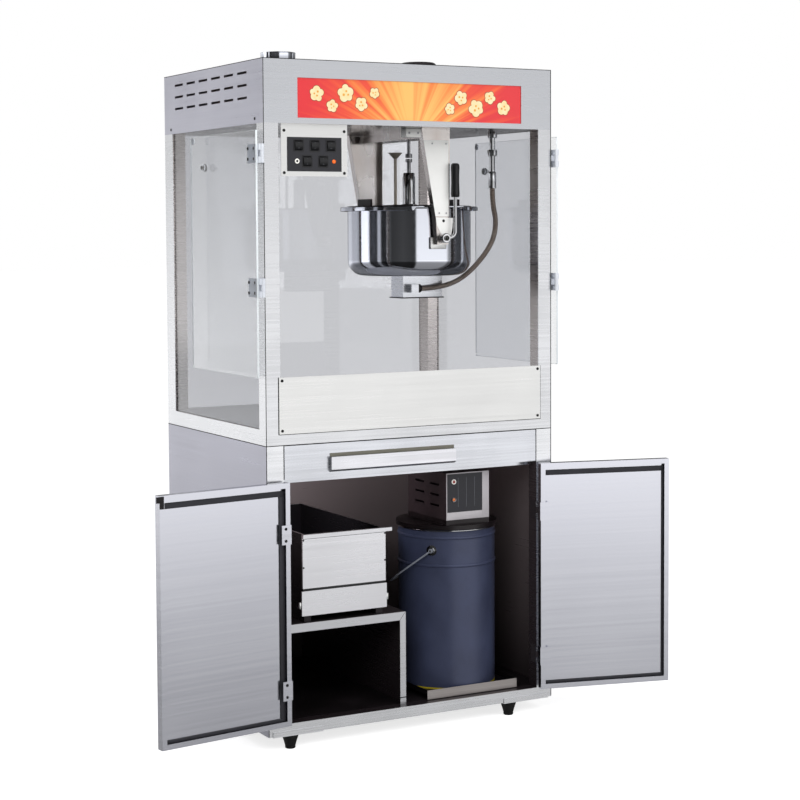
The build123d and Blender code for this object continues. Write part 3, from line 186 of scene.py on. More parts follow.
@dataclass
class Surface:
    """Skin of one shape: places in millimetres and the faces that join them."""

    points: np.ndarray
    faces: list

    def moved(self, matrix: np.ndarray, shift: Point = (0.0, 0.0, 0.0)) -> "Surface":
        """The skin with each place turned by the matrix and then shifted."""
        return Surface(self.points @ np.asarray(matrix, float).T + np.asarray(shift, float), self.faces)

    def placed(self, centre: Point, along: Along) -> "Surface":
        """The skin with its own height turned the named way and its zero put at the centre."""
        return self.moved(np.array(along.value, float).T, centre)

    def swung(self, axis: Pair, degrees: float) -> "Surface":
        """The skin turned about an upright axis.

        Args:
            axis: X and Y of the axis.
            degrees: the turn, anticlockwise from above.

        Returns:
            The turned skin.
        """
        turn = upright_turn(degrees)
        pivot = np.array([*axis, 0.0])
        return self.moved(turn, pivot - turn @ pivot)

    def mirrored(self) -> "Surface":
        """The skin reflected across the machine's middle, with its faces turned the right way."""
        return Surface(self.points * (-1, 1, 1), [face[::-1] for face in self.faces])


def loft(rings: np.ndarray, wrapped: bool = False) -> Surface:
    """Skin over a stack of rings: place (i, j) joins (i + 1, j) and (i, j + 1).

    Args:
        rings: array of rings by sides by three.
        wrapped: True joins the last ring to the first; otherwise flat caps close the ends.

    Returns:
        The closed skin.
    """
    count, sides = rings.shape[:2]
    row, column = np.meshgrid(np.arange(count if wrapped else count - 1), np.arange(sides), indexing="ij")
    after, beside = (row + 1) % count, (column + 1) % sides
    quads = np.stack(
        [row * sides + column, row * sides + beside, after * sides + beside, after * sides + column], -1
    )
    faces = quads.reshape(-1, 4).tolist()
    if not wrapped:
        faces.append(list(range(sides))[::-1])
        faces.append(list(range((count - 1) * sides, count * sides)))
    return Surface(rings.reshape(-1, 3), faces)


def turned(profile: Sequence, sides: int = 48, wrapped: bool = False) -> Surface:
    """A profile turned round the height: (r cos a, r sin a, h) for each r, h and angle a.

    Args:
        profile: pairs of radius and height.
        sides: number of steps round.
        wrapped: True where the profile comes back to its start.

    Returns:
        The closed skin, with its axis through zero.
    """
    outline = np.asarray(profile, float)
    angle = np.linspace(0, 2 * np.pi, sides, endpoint=False)
    radius, height = outline[:, :1], outline[:, 1:]
    level = np.broadcast_to(height, (len(outline), sides))
    return loft(np.stack([radius * np.cos(angle), radius * np.sin(angle), level], -1), wrapped)


def arc(centre: Pair, radius: float, start: float, end: float, steps: int = 8) -> np.ndarray:
    """Pairs along a circle's arc: centre + radius (cos a, sin a) for a from start to end in degrees."""
    angle = np.radians(np.linspace(start, end, steps))
    return np.stack([centre[0] + radius * np.cos(angle), centre[1] + radius * np.sin(angle)], -1)


def rounded_outline(width: float, height: float, corner: float, steps: int = 5) -> np.ndarray:
    """A rectangle round zero with a quarter circle at each corner.

    Args:
        width: size along x.
        height: size along y.
        corner: radius of the corners.
        steps: places along each corner.

    Returns:
        Pairs round its edge.
    """
    x, y = width / 2 - corner, height / 2 - corner
    corners = ((x, y, 0), (-x, y, 90), (-x, -y, 180), (x, -y, 270))
    return np.concatenate([arc((cx, cy), corner, turn, turn + 90, steps) for cx, cy, turn in corners])


def levelled(outline: np.ndarray, level: float) -> np.ndarray:
    """A flat outline of pairs as a ring of places at one height."""
    return np.column_stack([outline, np.full(len(outline), level)])


def plate(width: float, height: float, thick: float, corner: float = 2.0, edge: float = 0.5) -> Surface:
    """A plate with rounded corners and eased edges: its outline shrinks by the edge at both faces.

    Args:
        width: size along the plate's own x.
        height: size along its own y.
        thick: size along its own height, which starts at zero.
        corner: radius of the corners.
        edge: how far the edges are eased.

    Returns:
        The closed skin.
    """
    edge = min(edge, thick * EASED_SHARE, corner * 0.9)
    knee = edge * 0.3
    steps = ((edge, 0), (knee, knee), (0, edge), (0, thick - edge), (knee, thick - knee), (edge, thick))
    rings = [
        levelled(rounded_outline(width - 2 * inset, height - 2 * inset, corner - inset), level)
        for inset, level in steps
    ]
    return loft(np.stack(rings))


def bar(lo: Point, hi: Point, edge: float = 0.6) -> Surface:
    """A block between two corners with eased edges, made as an upright plate.

    Args:
        lo: its least corner.
        hi: its greatest corner.
        edge: how far the edges are eased.

    Returns:
        The closed skin.
    """
    low, high = np.asarray(lo, float), np.asarray(hi, float)
    size = high - low
    corner = max(min(edge, size[0] * EASED_SHARE, size[1] * EASED_SHARE), 0.05)
    shape = plate(size[0], size[1], size[2], corner, min(edge, size[2] * EASED_SHARE))
    return shape.moved(np.eye(3), ((low[0] + high[0]) / 2, (low[1] + high[1]) / 2, low[2]))


def frame_ring(width: float, height: float, band: float, thick: float, corner: float = 2.0) -> Surface:
    """A flat rectangular ring: outer outline, inner outline and the walls between them.

    Args:
        width: size along its own x.
        height: size along its own y.
        band: width of the ring's strip.
        thick: size along its own height, which starts at zero.
        corner: radius of the outer corners.

    Returns:
        The closed skin.
    """
    outer = rounded_outline(width, height, corner)
    inner = rounded_outline(width - 2 * band, height - 2 * band, max(corner - band, 0.4))
    walls = ((outer, 0.0), (outer, thick), (inner, thick), (inner, 0.0))
    return loft(np.stack([levelled(line, level) for line, level in walls]), wrapped=True)


def prism(outline: Sequence, thick: float) -> Surface:
    """A flat outline of pairs given a thickness along its own height."""
    line = np.asarray(outline, float)
    return loft(np.stack([levelled(line, level) for level in (0.0, thick)]))


def flat_face(left: float, right: float, low: float, high: float, back: float) -> Surface:
    """A thin sharp-edged sheet facing the front, with its back at that Y."""
    outline = [(left, low), (right, low), (right, high), (left, high)]
    return prism(outline, FACING).placed((0.0, back, 0.0), Along.FRONT)


def tube(path: np.ndarray, radius: np.ndarray, aside: Point, sides: int = 12) -> Surface:
    """A round section carried along a path.

    At each place the section lies square to the path: with t the direction, n is t crossed with
    the aside direction and b is t crossed with n, and a ring is path + radius (n cos a + b sin a).

    Args:
        path: places along the middle line.
        radius: radius at each place.
        aside: a direction that the path never follows.
        sides: steps round the section.

    Returns:
        The closed skin.
    """
    along = np.gradient(path, axis=0)
    along /= np.linalg.norm(along, axis=1, keepdims=True)
    normal = np.cross(along, np.asarray(aside, float))
    normal /= np.linalg.norm(normal, axis=1, keepdims=True)
    second = np.cross(along, normal)
    angle = np.linspace(0, 2 * np.pi, sides, endpoint=False)
    ring = normal[:, None] * np.cos(angle)[None, :, None] + second[:, None] * np.sin(angle)[None, :, None]
    return loft(path[:, None] + np.broadcast_to(radius, len(path))[:, None, None] * ring)


@dataclass(frozen=True)
class Finish:
    """A finish: the real material's name, its colour and how it takes light."""

    title: str
    colour: str
    roughness: float = 0.5
    metallic: float = 0.0

    def material(self) -> bpy.types.Material:
        """The finish as a material, made once.

        Returns:
            The material of that title.
        """
        found = bpy.data.materials.get(self.title)
        if found:
            return found
        made = bpy.data.materials.new(self.title)
        made.use_nodes = True
        shader = made.node_tree.nodes["Principled BSDF"]
        shader.inputs["Base Color"].default_value = linear(self.colour)
        shader.inputs["Roughness"].default_value = self.roughness
        shader.inputs["Metallic"].default_value = self.metallic
        self.pattern(made.node_tree, shader)
        return made

    def pattern(self, tree: Tree, shader: Node) -> None:
        """Adds what the surface shows beyond its plain colour.

        Args:
            tree: the material's nodes.
            shader: its shader.
        """

    def noise(self, tree: Tree, size_mm: Point, detail: float = 2.0) -> Socket:
        """Soft noise whose patches have the given size along X, Y and Z.

        Args:
            tree: the material's nodes.
            size_mm: size of a patch in millimetres.
            detail: how many finer layers are laid over it.

        Returns:
            Socket of the noise, mostly within NOISE_SPAN.
        """
        place = add_node(tree, "TexCoord").outputs["Object"]
        scale = tuple(1000.0 / size for size in size_mm)
        spread = add_node(tree, "Mapping", {"Scale": scale}, {"Vector": place})
        settings = {"Scale": 1.0, "Detail": detail}
        return add_node(tree, "TexNoise", settings, {"Vector": spread.outputs[0]}).outputs["Fac"]

    def uneven(self, tree: Tree, shader: Node, source: Socket, low: float, high: float) -> None:
        """Lets the roughness swing between two values with a noise.

        Args:
            tree: the material's nodes.
            shader: its shader.
            source: socket of the noise.
            low: the least roughness.
            high: the greatest roughness.
        """
        span = {**NOISE_SPAN, "To Min": low, "To Max": high}
        rough = add_node(tree, "MapRange", span, {"Value": source})
        tree.links.new(rough.outputs["Result"], shader.inputs["Roughness"])

    def two_tone(self, tree: Tree, source: Socket, dark: str) -> Socket:
        """Colour that a noise swings between a dark tone and the finish's own.

        Args:
            tree: the material's nodes.
            source: socket of the noise.
            dark: the dark tone.

        Returns:
            Socket of the colour.
        """
        share = add_node(tree, "MapRange", NOISE_SPAN, {"Value": source}).outputs["Result"]
        tones = {"data_type": "RGBA", 6: linear(dark), 7: linear(self.colour)}
        return add_node(tree, "Mix", tones, {0: share}).outputs[2]

    def relief(self, tree: Tree, shader: Node, height: Socket, deep_mm: float) -> None:
        """Raises the surface with a noise.

        Args:
            tree: the material's nodes.
            shader: its shader.
            height: socket of the noise.
            deep_mm: how far it rises, in millimetres.
        """
        settings = {"Strength": 1.0, "Distance": deep_mm / 1000.0}
        bump = add_node(tree, "Bump", settings, {"Height": height})
        tree.links.new(bump.outputs["Normal"], shader.inputs["Normal"])


@dataclass(frozen=True)
class BrushedSteel(Finish):
    """Stainless sheet, belt-brushed one way: fine level streaks over slow clouds of tone.

    Real brush lines are about 0.2 mm apart; they are drawn several millimetres wide so that
    they show at this distance.
    """

    metallic: float = 1.0
    dark: str = "#9c9ea2"
    streak_mm: Triple = (420.0, 420.0, 5.0)
    cloud_mm: float = 190.0
    cloud_share: float = 0.45
    spread: float = 0.09
    groove_mm: float = 0.02

    def steel(self, tree: Tree, shader: Node) -> Socket:
        """Tone of the steel; links roughness and a faint relief as well.

        Args:
            tree: the material's nodes.
            shader: its shader.

        Returns:
            Socket of the tone.
        """
        streak = self.noise(tree, self.streak_mm, 3.0)
        cloud = self.noise(tree, (self.cloud_mm,) * 3)
        both = add_node(tree, "Mix", {0: self.cloud_share}, {2: streak, 3: cloud}).outputs[0]
        self.uneven(tree, shader, both, self.roughness - self.spread, self.roughness + self.spread)
        self.relief(tree, shader, streak, self.groove_mm)
        return self.two_tone(tree, both, self.dark)

    def pattern(self, tree: Tree, shader: Node) -> None:
        """Streaks and clouds in the base colour."""
        tree.links.new(self.steel(tree, shader), shader.inputs["Base Color"])


@dataclass(frozen=True)
class BoxMaskedSteel(BrushedSteel):
    """Brushed sheet whose faces inside a box take another colour, blended from the box's foot to its top.
    In the cupboard, its frame, the bin, the shelf, the tray and the glass chamber that colour is painted
    shade, paler towards the top in the cupboard as painted light from above.
    """

    lo: Triple = (0.0, 0.0, 0.0)
    hi: Triple = (0.0, 0.0, 0.0)
    inside_colour: str = "#19171a"
    inside_top: str = "#19171a"
    inside_metal: float = 0.55

    def within(self, tree: Tree, parts: Node) -> Socket:
        """One inside the box and zero outside: the product of a test for each of its six sides.

        Args:
            tree: the material's nodes.
            parts: node that gives the place's X, Y and Z.

        Returns:
            Socket of the product.
        """
        product = None
        for axis, limits in enumerate(zip(at(self.lo), at(self.hi))):
            for operation, limit in zip(("GREATER_THAN", "LESS_THAN"), limits):
                settings = {"operation": operation, 1: limit}
                test = add_node(tree, "Math", settings, {0: parts.outputs[axis]}).outputs[0]
                if product is not None:
                    both = {0: product, 1: test}
                    test = add_node(tree, "Math", {"operation": "MULTIPLY"}, both).outputs[0]
                product = test
        return product

    def pattern(self, tree: Tree, shader: Node) -> None:
        """Steel outside; within the box the inside colour, which is painted shade in the cupboard and its
        recesses, and a lower metal share.

        Args:
            tree: the material's nodes.
            shader: its shader.
        """
        place = add_node(tree, "TexCoord").outputs["Object"]
        parts = add_node(tree, "SeparateXYZ", None, {0: place})
        within = self.within(tree, parts)
        tone = self.steel(tree, shader)
        heights = {"From Min": at(self.lo)[2], "From Max": at(self.hi)[2]}
        rise = add_node(tree, "MapRange", heights, {"Value": parts.outputs[2]}).outputs["Result"]
        inside_tones = {"data_type": "RGBA", 6: linear(self.inside_colour), 7: linear(self.inside_top)}
        inside = add_node(tree, "Mix", inside_tones, {0: rise}).outputs[2]
        both = add_node(tree, "Mix", {"data_type": "RGBA"}, {0: within, 6: tone, 7: inside})
        tree.links.new(both.outputs[2], shader.inputs["Base Color"])
        metals = {"To Min": self.metallic, "To Max": self.inside_metal}
        metal = add_node(tree, "MapRange", metals, {"Value": within})
        tree.links.new(metal.outputs["Result"], shader.inputs["Metallic"])


@dataclass(frozen=True)
class PolishedSteel(Finish):
    """Buffed stainless: mirror-like, with faint buffing haze and slow ripples."""

    metallic: float = 1.0
    haze: float = 0.05
    haze_mm: Triple = (60.0, 60.0, 6.0)
    ripple_mm: float = 70.0
    ripple_deep_mm: float = 0.08

    def pattern(self, tree: Tree, shader: Node) -> None:
        """Haze in the roughness and a shallow ripple.

        Args:
            tree: the material's nodes.
            shader: its shader.
        """
        haze = self.noise(tree, self.haze_mm, 3.0)
        self.uneven(tree, shader, haze, self.roughness, self.roughness + self.haze)
        self.relief(tree, shader, self.noise(tree, (self.ripple_mm,) * 3, 1.0), self.ripple_deep_mm)


@dataclass(frozen=True)
class Coat(Finish):
    """Sprayed or moulded coat: a fine grain in the relief and slow mottling of tone.

    Real grain is some tenths of a millimetre wide; it is drawn millimetres wide so that it shows.
    """

    dark: str = "#101010"
    grain_mm: float = 2.0
    grain_deep_mm: float = 0.05
    mottle_mm: float = 90.0
    gloss_spread: Pair = (-0.05, 0.07)

    def pattern(self, tree: Tree, shader: Node) -> None:
        """Mottled tone, uneven gloss and grain.

        Args:
            tree: the material's nodes.
            shader: its shader.
        """
        mottle = self.noise(tree, (self.mottle_mm,) * 3, 3.0)
        tree.links.new(self.two_tone(tree, mottle, self.dark), shader.inputs["Base Color"])
        low, high = self.gloss_spread
        self.uneven(tree, shader, mottle, self.roughness + low, self.roughness + high)
        self.relief(tree, shader, self.noise(tree, (self.grain_mm,) * 3), self.grain_deep_mm)


@dataclass(frozen=True)
class ClearSheet(Finish):
    """Clear sheet: tinted by what passes through, faintly smeared, letting lamps through."""

    ior: float = 1.5
    smear: float = 0.03
    smear_mm: Triple = (160.0, 160.0, 240.0)

    def pattern(self, tree: Tree, shader: Node) -> None:
        """Full transmission, smears in the roughness, and a clear path for lamps.

        Args:
            tree: the material's nodes.
            shader: its shader.
        """
        shader.inputs["Transmission Weight"].default_value = 1.0
        shader.inputs["IOR"].default_value = self.ior
        self.uneven(tree, shader, self.noise(tree, self.smear_mm, 4.0), 0.0, self.smear)
        lamp_ray = add_node(tree, "LightPath").outputs["Is Shadow Ray"]
        clear = add_node(tree, "BsdfTransparent", {"Color": linear(self.colour)})
        ways = {0: lamp_ray, 1: shader.outputs[0], 2: clear.outputs[0]}
        mixed = add_node(tree, "MixShader", None, ways)
        tree.links.new(mixed.outputs[0], tree.nodes["Material Output"].inputs["Surface"])


@dataclass(frozen=True)
class SignPrint(Finish):
    """Screen-printed sign sheet: red ends, orange, and a yellow middle with soft rays."""

    middle: Pair = (0.0, 1734.0)
    half: Pair = (350.0, 53.0)
    stops: tuple = ((0.06, "#f0b560"), (0.34, "#ea8038"), (0.58, "#e0482c"), (0.84, "#d6282f"))
    ray_source: float = 2.2
    ray_widen: float = 4.0
    ray_count: float = 7.0
    ray_reach: float = 0.28
    varnish: float = 0.35
    varnish_roughness: float = 0.25

    def rays(self, tree: Tree, across: Socket, rise: Socket) -> Socket:
        """Noise along the bearing from a source below the sign: atan2(widen x, z + source).

        Args:
            tree: the material's nodes.
            across: socket of x, one at the sign's end.
            rise: socket of z, one at its top.

        Returns:
            Socket of the rays, each way from zero.
        """
        lowering = {"operation": "ADD", 1: self.ray_source}
        lowered = add_node(tree, "Math", lowering, {0: rise}).outputs[0]
        widening = {"operation": "MULTIPLY", 1: self.ray_widen}
        widened = add_node(tree, "Math", widening, {0: across}).outputs[0]
        both = {0: widened, 1: lowered}
        bearing = add_node(tree, "Math", {"operation": "ARCTAN2"}, both).outputs[0]
        settings = {"noise_dimensions": "1D", "Scale": self.ray_count, "Detail": 3.0}
        fan = add_node(tree, "TexNoise", settings, {"W": bearing}).outputs["Fac"]
        span = {**NOISE_SPAN, "To Min": -self.ray_reach, "To Max": self.ray_reach}
        return add_node(tree, "MapRange", span, {"Value": fan}).outputs["Result"]

    def pattern(self, tree: Tree, shader: Node) -> None:
        """A ramp over the distance from the middle, brightened by rays from below it.

        Args:
            tree: the material's nodes.
            shader: its shader.
        """
        place = add_node(tree, "TexCoord").outputs["Object"]
        centre = at((self.middle[0], 0.0, self.middle[1]))
        size = (1000.0 / self.half[0], 0.0, 1000.0 / self.half[1])
        shift = (-centre[0] * size[0], 0.0, -centre[2] * size[2])
        centring = {"Scale": size, "Location": shift}
        spread = add_node(tree, "Mapping", centring, {"Vector": place})
        parts = add_node(tree, "SeparateXYZ", None, {0: spread.outputs[0]})
        across, rise = parts.outputs[0], parts.outputs[2]
        away = add_node(tree, "Math", {"operation": "ABSOLUTE"}, {0: across}).outputs[0]
        both = {0: away, 1: self.rays(tree, across, rise)}
        reach = add_node(tree, "Math", {"operation": "ADD"}, both).outputs[0]
        stops = [(share, linear(colour)) for share, colour in self.stops]
        ramp = add_node(tree, "ValToRGB", None, {0: reach}, stops)
        tree.links.new(ramp.outputs[0], shader.inputs["Base Color"])
        shader.inputs["Coat Weight"].default_value = self.varnish
        shader.inputs["Coat Roughness"].default_value = self.varnish_roughness


@dataclass(frozen=True)
class Lens(Finish):
    """Moulded lamp lens: glossy, faintly lit from behind."""

    shine: float = 0.25
    gloss: float = 0.6
    facet_mm: float = 1.5
    facet_deep_mm: float = 0.05

    def pattern(self, tree: Tree, shader: Node) -> None:
        """Even glow of the lens's own colour and fine facets in the relief.

        Args:
            tree: the material's nodes.
            shader: its shader.
        """
        shader.inputs["Emission Color"].default_value = linear(self.colour)
        shader.inputs["Emission Strength"].default_value = self.shine
        shader.inputs["Coat Weight"].default_value = self.gloss
        self.relief(tree, shader, self.noise(tree, (self.facet_mm,) * 3, 1.0), self.facet_deep_mm)


# Satin stainless: level brush lines that blur what it mirrors into soft grey bands.
SATIN = BrushedSteel("satin stainless sheet", "#e3e5eb", 0.28, dark="#d8dae0")
# The same sheet a shade darker, as the header's long faces look.
HEADER_SHEET = BrushedSteel("satin stainless, header", "#d8dadf", 0.28, dark="#cdcfd4")
# Freshly brushed stainless: close to white and even.
BRIGHT = BrushedSteel("bright brushed stainless", "#f1f1f0", 0.3, dark="#e7e7e6", spread=0.05)
# Folded bright sheet: nearly smooth, so it catches the light whole.
PULL_STEEL = BrushedSteel("bright pull sheet", "#f5f5fa", 0.3, dark="#eeeef4", groove_mm=0.006)
# Bead-blasted stainless: a cool grey with hardly a reflection.
SIDE = BrushedSteel("satin stainless, bead-blasted", "#c8c8d2", 0.34, dark="#bbbbc7")
# Long-grain brushed liner: wide level streaks in a soft mirror.
LINER = BrushedSteel(
    "brushed door liner", "#dedfe7", 0.2, dark="#d3d4dd", streak_mm=(900.0, 900.0, 7.0),
    cloud_mm=420.0, spread=0.03, groove_mm=0.003,
)
# Zinc plate: dull grey with small crystal patches.
ZINC = BrushedSteel("zinc-plated steel", "#c6c7ca", 0.34, dark="#a3a4a8", streak_mm=(14.0, 14.0, 14.0))
# Plated wire: mid grey with a soft shine along its length.
WIRE = Coat("zinc-plated wire", "#a4a9b4", 0.36, 0.35, dark="#8d929d", grain_mm=3.0)
# Cast and painted hinge: pale, faintly cool and smooth.
HINGE = Coat("pale hinge casting", "#e3e7ee", 0.34, 0.1, dark="#d7dbe4", grain_mm=3.0)
# Wound steel hose: warm grey, patchy from handling.
HOSE = BrushedSteel("ribbed steel hose", "#c6b9b0", 0.36, 0.8, dark="#9a8d85", streak_mm=(9.0, 9.0, 9.0))
# Hot-tinned sheet: a warm, milky grey.
TINNED = Coat("tinned funnel", "#b9b0a4", 0.35, 0.4, dark="#a2998d", grain_mm=6.0)
# Brushed steel tinted by heat: upright streaks with a brown cast.
ARM = BrushedSteel(
    "heat-tinted arm steel", "#eeebea", 0.26, dark="#c2b8b2", streak_mm=(70.0, 70.0, 900.0),
    cloud_mm=150.0,
)
# Deck sheet dulled by salt and scouring: pale and nearly matt.
DECK = BrushedSteel("dulled deck sheet", "#d5d6da", 0.4, 0.35, dark="#c2c3c8", cloud_mm=120.0)
# Polished steel of the hood, with a brown smoke stain and painted dark as the shade under the roof: a
# dark brown mirror with clouds.
CEILING = BrushedSteel("smoke-stained steel, painted shade", "#6f655f", 0.16, dark="#39302d", cloud_mm=110.0)
# Buffed stainless: a clean mirror that shows the room's bands.
MIRROR = PolishedSteel("buffed stainless", "#dcdfe8", 0.05)
# Chrome plate: a bright mirror with small ripples.
CHROME = PolishedSteel("chrome plate", "#e0e1e4", 0.07, haze=0.04, ripple_mm=30.0)
# Tempered glass: clear, grey by what it takes from the light.
GLASS = ClearSheet("tempered glass", "#cbccd0")
# Cast acrylic: clearer than the glass and without its grey.
ACRYLIC = ClearSheet("clear acrylic", "#fafbfc", ior=1.49)
# Acrylic edge, flame-polished, drawn as a painted highlight: an opaque bright white line where the clear
# edge catches the light.
ACRYLIC_EDGE_HIGHLIGHT = Coat("painted highlight on acrylic edge", "#e6ebee", 0.25, dark="#dae1e5", grain_deep_mm=0.0)
# Moulded black ABS: satin, with a fine spark-eroded grain.
BLACK_ABS = Coat("black moulded plastic", "#1c1c1e", 0.42, dark="#111113", grain_mm=1.6)
# Printed polyester overlay: smooth blue-black.
OVERLAY = Coat("black printed overlay", "#24242a", 0.34, dark="#1a1a20", grain_mm=2.4, grain_deep_mm=0.02)
# Steel under burnt oil: brown-black with a greasy shine. On the cupboard's floor the same dark is painted
# shade.
DARK_COAT = Coat("dark oiled steel and painted shade", "#2b2629", 0.4, 0.5, dark="#171315", grain_mm=5.0)
# Fired white enamel: glossy and slightly uneven.
ENAMEL = Coat("white enamelled steel", "#f1f1ef", 0.32, dark="#e6e6e4", grain_mm=4.0)
# Stoved blue-grey paint: a soft upright highlight on the pail.
PAIL_PAINT = Coat("blue-grey enamel", "#40465f", 0.34, 0.15, dark="#383d53", grain_mm=5.0)
# Stoved yellow paint: dull where it scrapes the tray.
YELLOW_PAINT = Coat("yellow enamel", "#b8a62c", 0.45, dark="#9c8a1d")
# Matt and dusty moulded rubber, in black. The same black draws the dark joints between sheets and paints
# the shadow in the gap round the lower plate.
RUBBER_AND_SHADE_BLACK = Coat("black rubber", "#161616", 0.75, dark="#0d0d0d", grain_mm=1.4)
# Matt grey a little paler than black: painted shadow round the base doors' liners, and thin dark joint
# lines.
SHADE_AND_JOINT_GREY = Coat("grey painted shadow and joint line", "#34343a", 0.6, dark="#27272c", grain_mm=1.4)
# Moulded polycarbonate lenses: glossy, with the lamp's own faint light.
AMBER = Lens("amber lens", "#e8661c", 0.25)
RED_LENS = Lens("dark red lens", "#7a2a26", 0.1)
SMOKED = Lens("smoked amber lens", "#b4602c", 0.12)
WHITE_LENS = Lens("white lens", "#eceae4", 0.3)
# Screen inks: flat and smooth, the cream one shaded like a popped kernel.
KERNEL_INK = Coat("cream ink", "#f4e0b8", 0.4, dark="#efd196", grain_deep_mm=0.0, mottle_mm=14.0)
BROWN_INK = Coat("brown ink", "#8e3a18", 0.4, dark="#792f11", grain_deep_mm=0.0)
BUTTER_INK = Coat("butter ink", "#e0a63c", 0.4, dark="#d69428", grain_deep_mm=0.0)
# This grey also paints a thin line of shadow under the bin's top lip.
GREY_INK_AND_SHADE = Coat("grey ink and painted shadow", "#6c6e74", 0.4, dark="#5c5e64", grain_deep_mm=0.0)
# Sprayed pale grey enamel: smooth with a low gloss.
PUMP_GREY = Coat("pale grey enamel", "#b9b5b9", 0.4, dark="#aca8ac", grain_mm=4.0)
# Painted shade deep in the pull's slot: a dull olive grey face.
SLOT_SHADE_GREY = Coat("painted shade in pull slot", "#77756a", 0.5, dark="#6c6a60", grain_deep_mm=0.0)
# Printed acrylic sign sheet: a warm gradient under a thin varnish.
SIGN = SignPrint("printed sign sheet", "#f2702a", 0.35)
# Satin stainless outside; the chamber's inner faces painted a warmer grey as painted shade, darkest under
# the roof.
CABINET = BoxMaskedSteel(
    "cabinet sheet, painted shade inside", "#e4e5e8", 0.28, dark="#d9dadd", lo=(-449.4, 3.0, 800.0),
    hi=(449.4, 699.4, 1667.0), inside_colour="#c9c3c0", inside_top="#bdb5b1", inside_metal=1.0,
)
# Bead-blasted stainless outside; within the cupboard painted shade, near black low down and paler towards
# the top as painted light from above.
CUPBOARD = BoxMaskedSteel(
    "base sheet, dark inside", "#b9b9c3", 0.34, dark="#acacb8", lo=(-449.2, 2.0, 30.0),
    hi=(449.2, 699.2, 810.0), inside_colour="#2c2729", inside_top="#988b8d", inside_metal=0.4,
)
# Bright front faces; every side that looks into the cupboard painted dark as painted shade.
BASE_FRAME = BoxMaskedSteel(
    "base posts and rails, dark behind", "#f1f2f5", 0.28, dark="#e7e8eb", lo=(-449.2, 1.6, 30.0),
    hi=(449.2, 699.2, 810.0), inside_colour="#2a2427", inside_top="#4a4144", inside_metal=0.3,
)
# Bright front sheet; the bin's inside painted nearly black as painted shade.
BIN_STEEL = BoxMaskedSteel(
    "bin sheet, dark inside", "#efeff3", 0.3, dark="#e8e8ec", groove_mm=0.006,
    lo=(-345.0, 40.5, 320.0), hi=(-60.0, 600.0, 559.6),
)
# Pale lip; the shelf behind it painted dark as painted shade.
SHELF_STEEL = BoxMaskedSteel(
    "shelf sheet, dark behind its lip", "#dadbdf", 0.3, dark="#cecfd3", lo=(-460.0, 30.6, 50.0),
    hi=(0.0, 720.0, 340.0), inside_colour="#2e282b", inside_top="#3a3437", inside_metal=0.5,
)
# Brown-grey lip; the tray behind it painted dark as painted shade.
TRAY_STEEL = BoxMaskedSteel(
    "tray sheet, dark behind its lip", "#c0bab8", 0.34, dark="#9a9390", lo=(40.0, 29.6, 50.0),
    hi=(400.0, 400.0, 120.0),
)
# Pale hinge steel, its hook blackened.
HOOK_STEEL = BoxMaskedSteel(
    "hinge steel, black hook", "#e5e6ee", 0.24, dark="#dadbe4", lo=(-900.0, -300.0, 680.0),
    hi=(0.0, 100.0, 740.0),
)
# Pale casting at the windows, the lower leaves dark.
LEAF_STEEL = BoxMaskedSteel(
    "pale hinge casting, dark on the base", "#e3e7ee", 0.34, 0.1, dark="#d7dbe4",
    streak_mm=(20.0, 20.0, 20.0), lo=(-460.0, -60.0, 30.0), hi=(460.0, 60.0, 800.0),
    inside_colour="#3a3538", inside_top="#3a3538", inside_metal=0.3,
)
# Sprayed brown-black enamel over a blacker lid: a low, even shine.
PUMP_COAT = BoxMaskedSteel(
    "brown-black enamel, black lid", "#43373b", 0.34, 0.2, dark="#352b2f",
    streak_mm=(60.0, 60.0, 60.0), lo=(0.0, 0.0, 531.0), hi=(400.0, 400.0, 559.8), inside_colour="#171214",
    inside_top="#1c1618", inside_metal=0.2,
)


Dressed = tuple[Surface, Finish]


def make_piece(
    name: str, parts: Sequence[Dressed], body: Optional[str], replaces: Sequence[str] = ()
) -> bpy.types.Object:
    """One object from closed skins, each with its own finish.

    Args:
        name: name of the piece.
        parts: pairs of skin and finish.
        body: the body it moves with, or None where it bends between two.
        replaces: solids that it stands for.

    Returns:
        The object, at the origin with its place in its mesh.
    """
    finishes = list(dict.fromkeys(finish for _, finish in parts))
    starts = np.cumsum([0] + [len(skin.points) for skin, _ in parts])
    places = at(np.concatenate([skin.points for skin, _ in parts]))
    faces = [[start + k for k in face] for (skin, _), start in zip(parts, starts) for face in skin.faces]
    index = np.repeat([finishes.index(f) for _, f in parts], [len(skin.faces) for skin, _ in parts])
    mesh = bpy.data.meshes.new(name)
    mesh.from_pydata(places.tolist(), [], faces)
    for finish in finishes:
        mesh.materials.append(finish.material())
    mesh.polygons.foreach_set("material_index", index.astype(np.int32))
    work = bmesh.new()
    work.from_mesh(mesh)
    bmesh.ops.recalc_face_normals(work, faces=work.faces)
    work.to_mesh(mesh)
    work.free()
    mesh.shade_smooth()
    mesh.set_sharp_from_angle(angle=SHARP_FROM)
    made = bpy.data.objects.new(name, mesh)
    bpy.context.scene.collection.objects.link(made)
    if body is not None:
        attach(made, body)
    if replaces:
        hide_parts(*replaces)
    log.info("piece %s: %d faces", name, len(mesh.polygons))
    return made


def dress(finish: Finish, *nodes: str) -> None:
    """Puts a finish on carried-over solids.

    Args:
        finish: the finish.
        nodes: names of the solids.
    """
    for node in nodes:
        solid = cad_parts[node]
        for place in solid.material_slots:
            place.material = finish.material()
        log.info("solid %s: %s", node, finish.title)


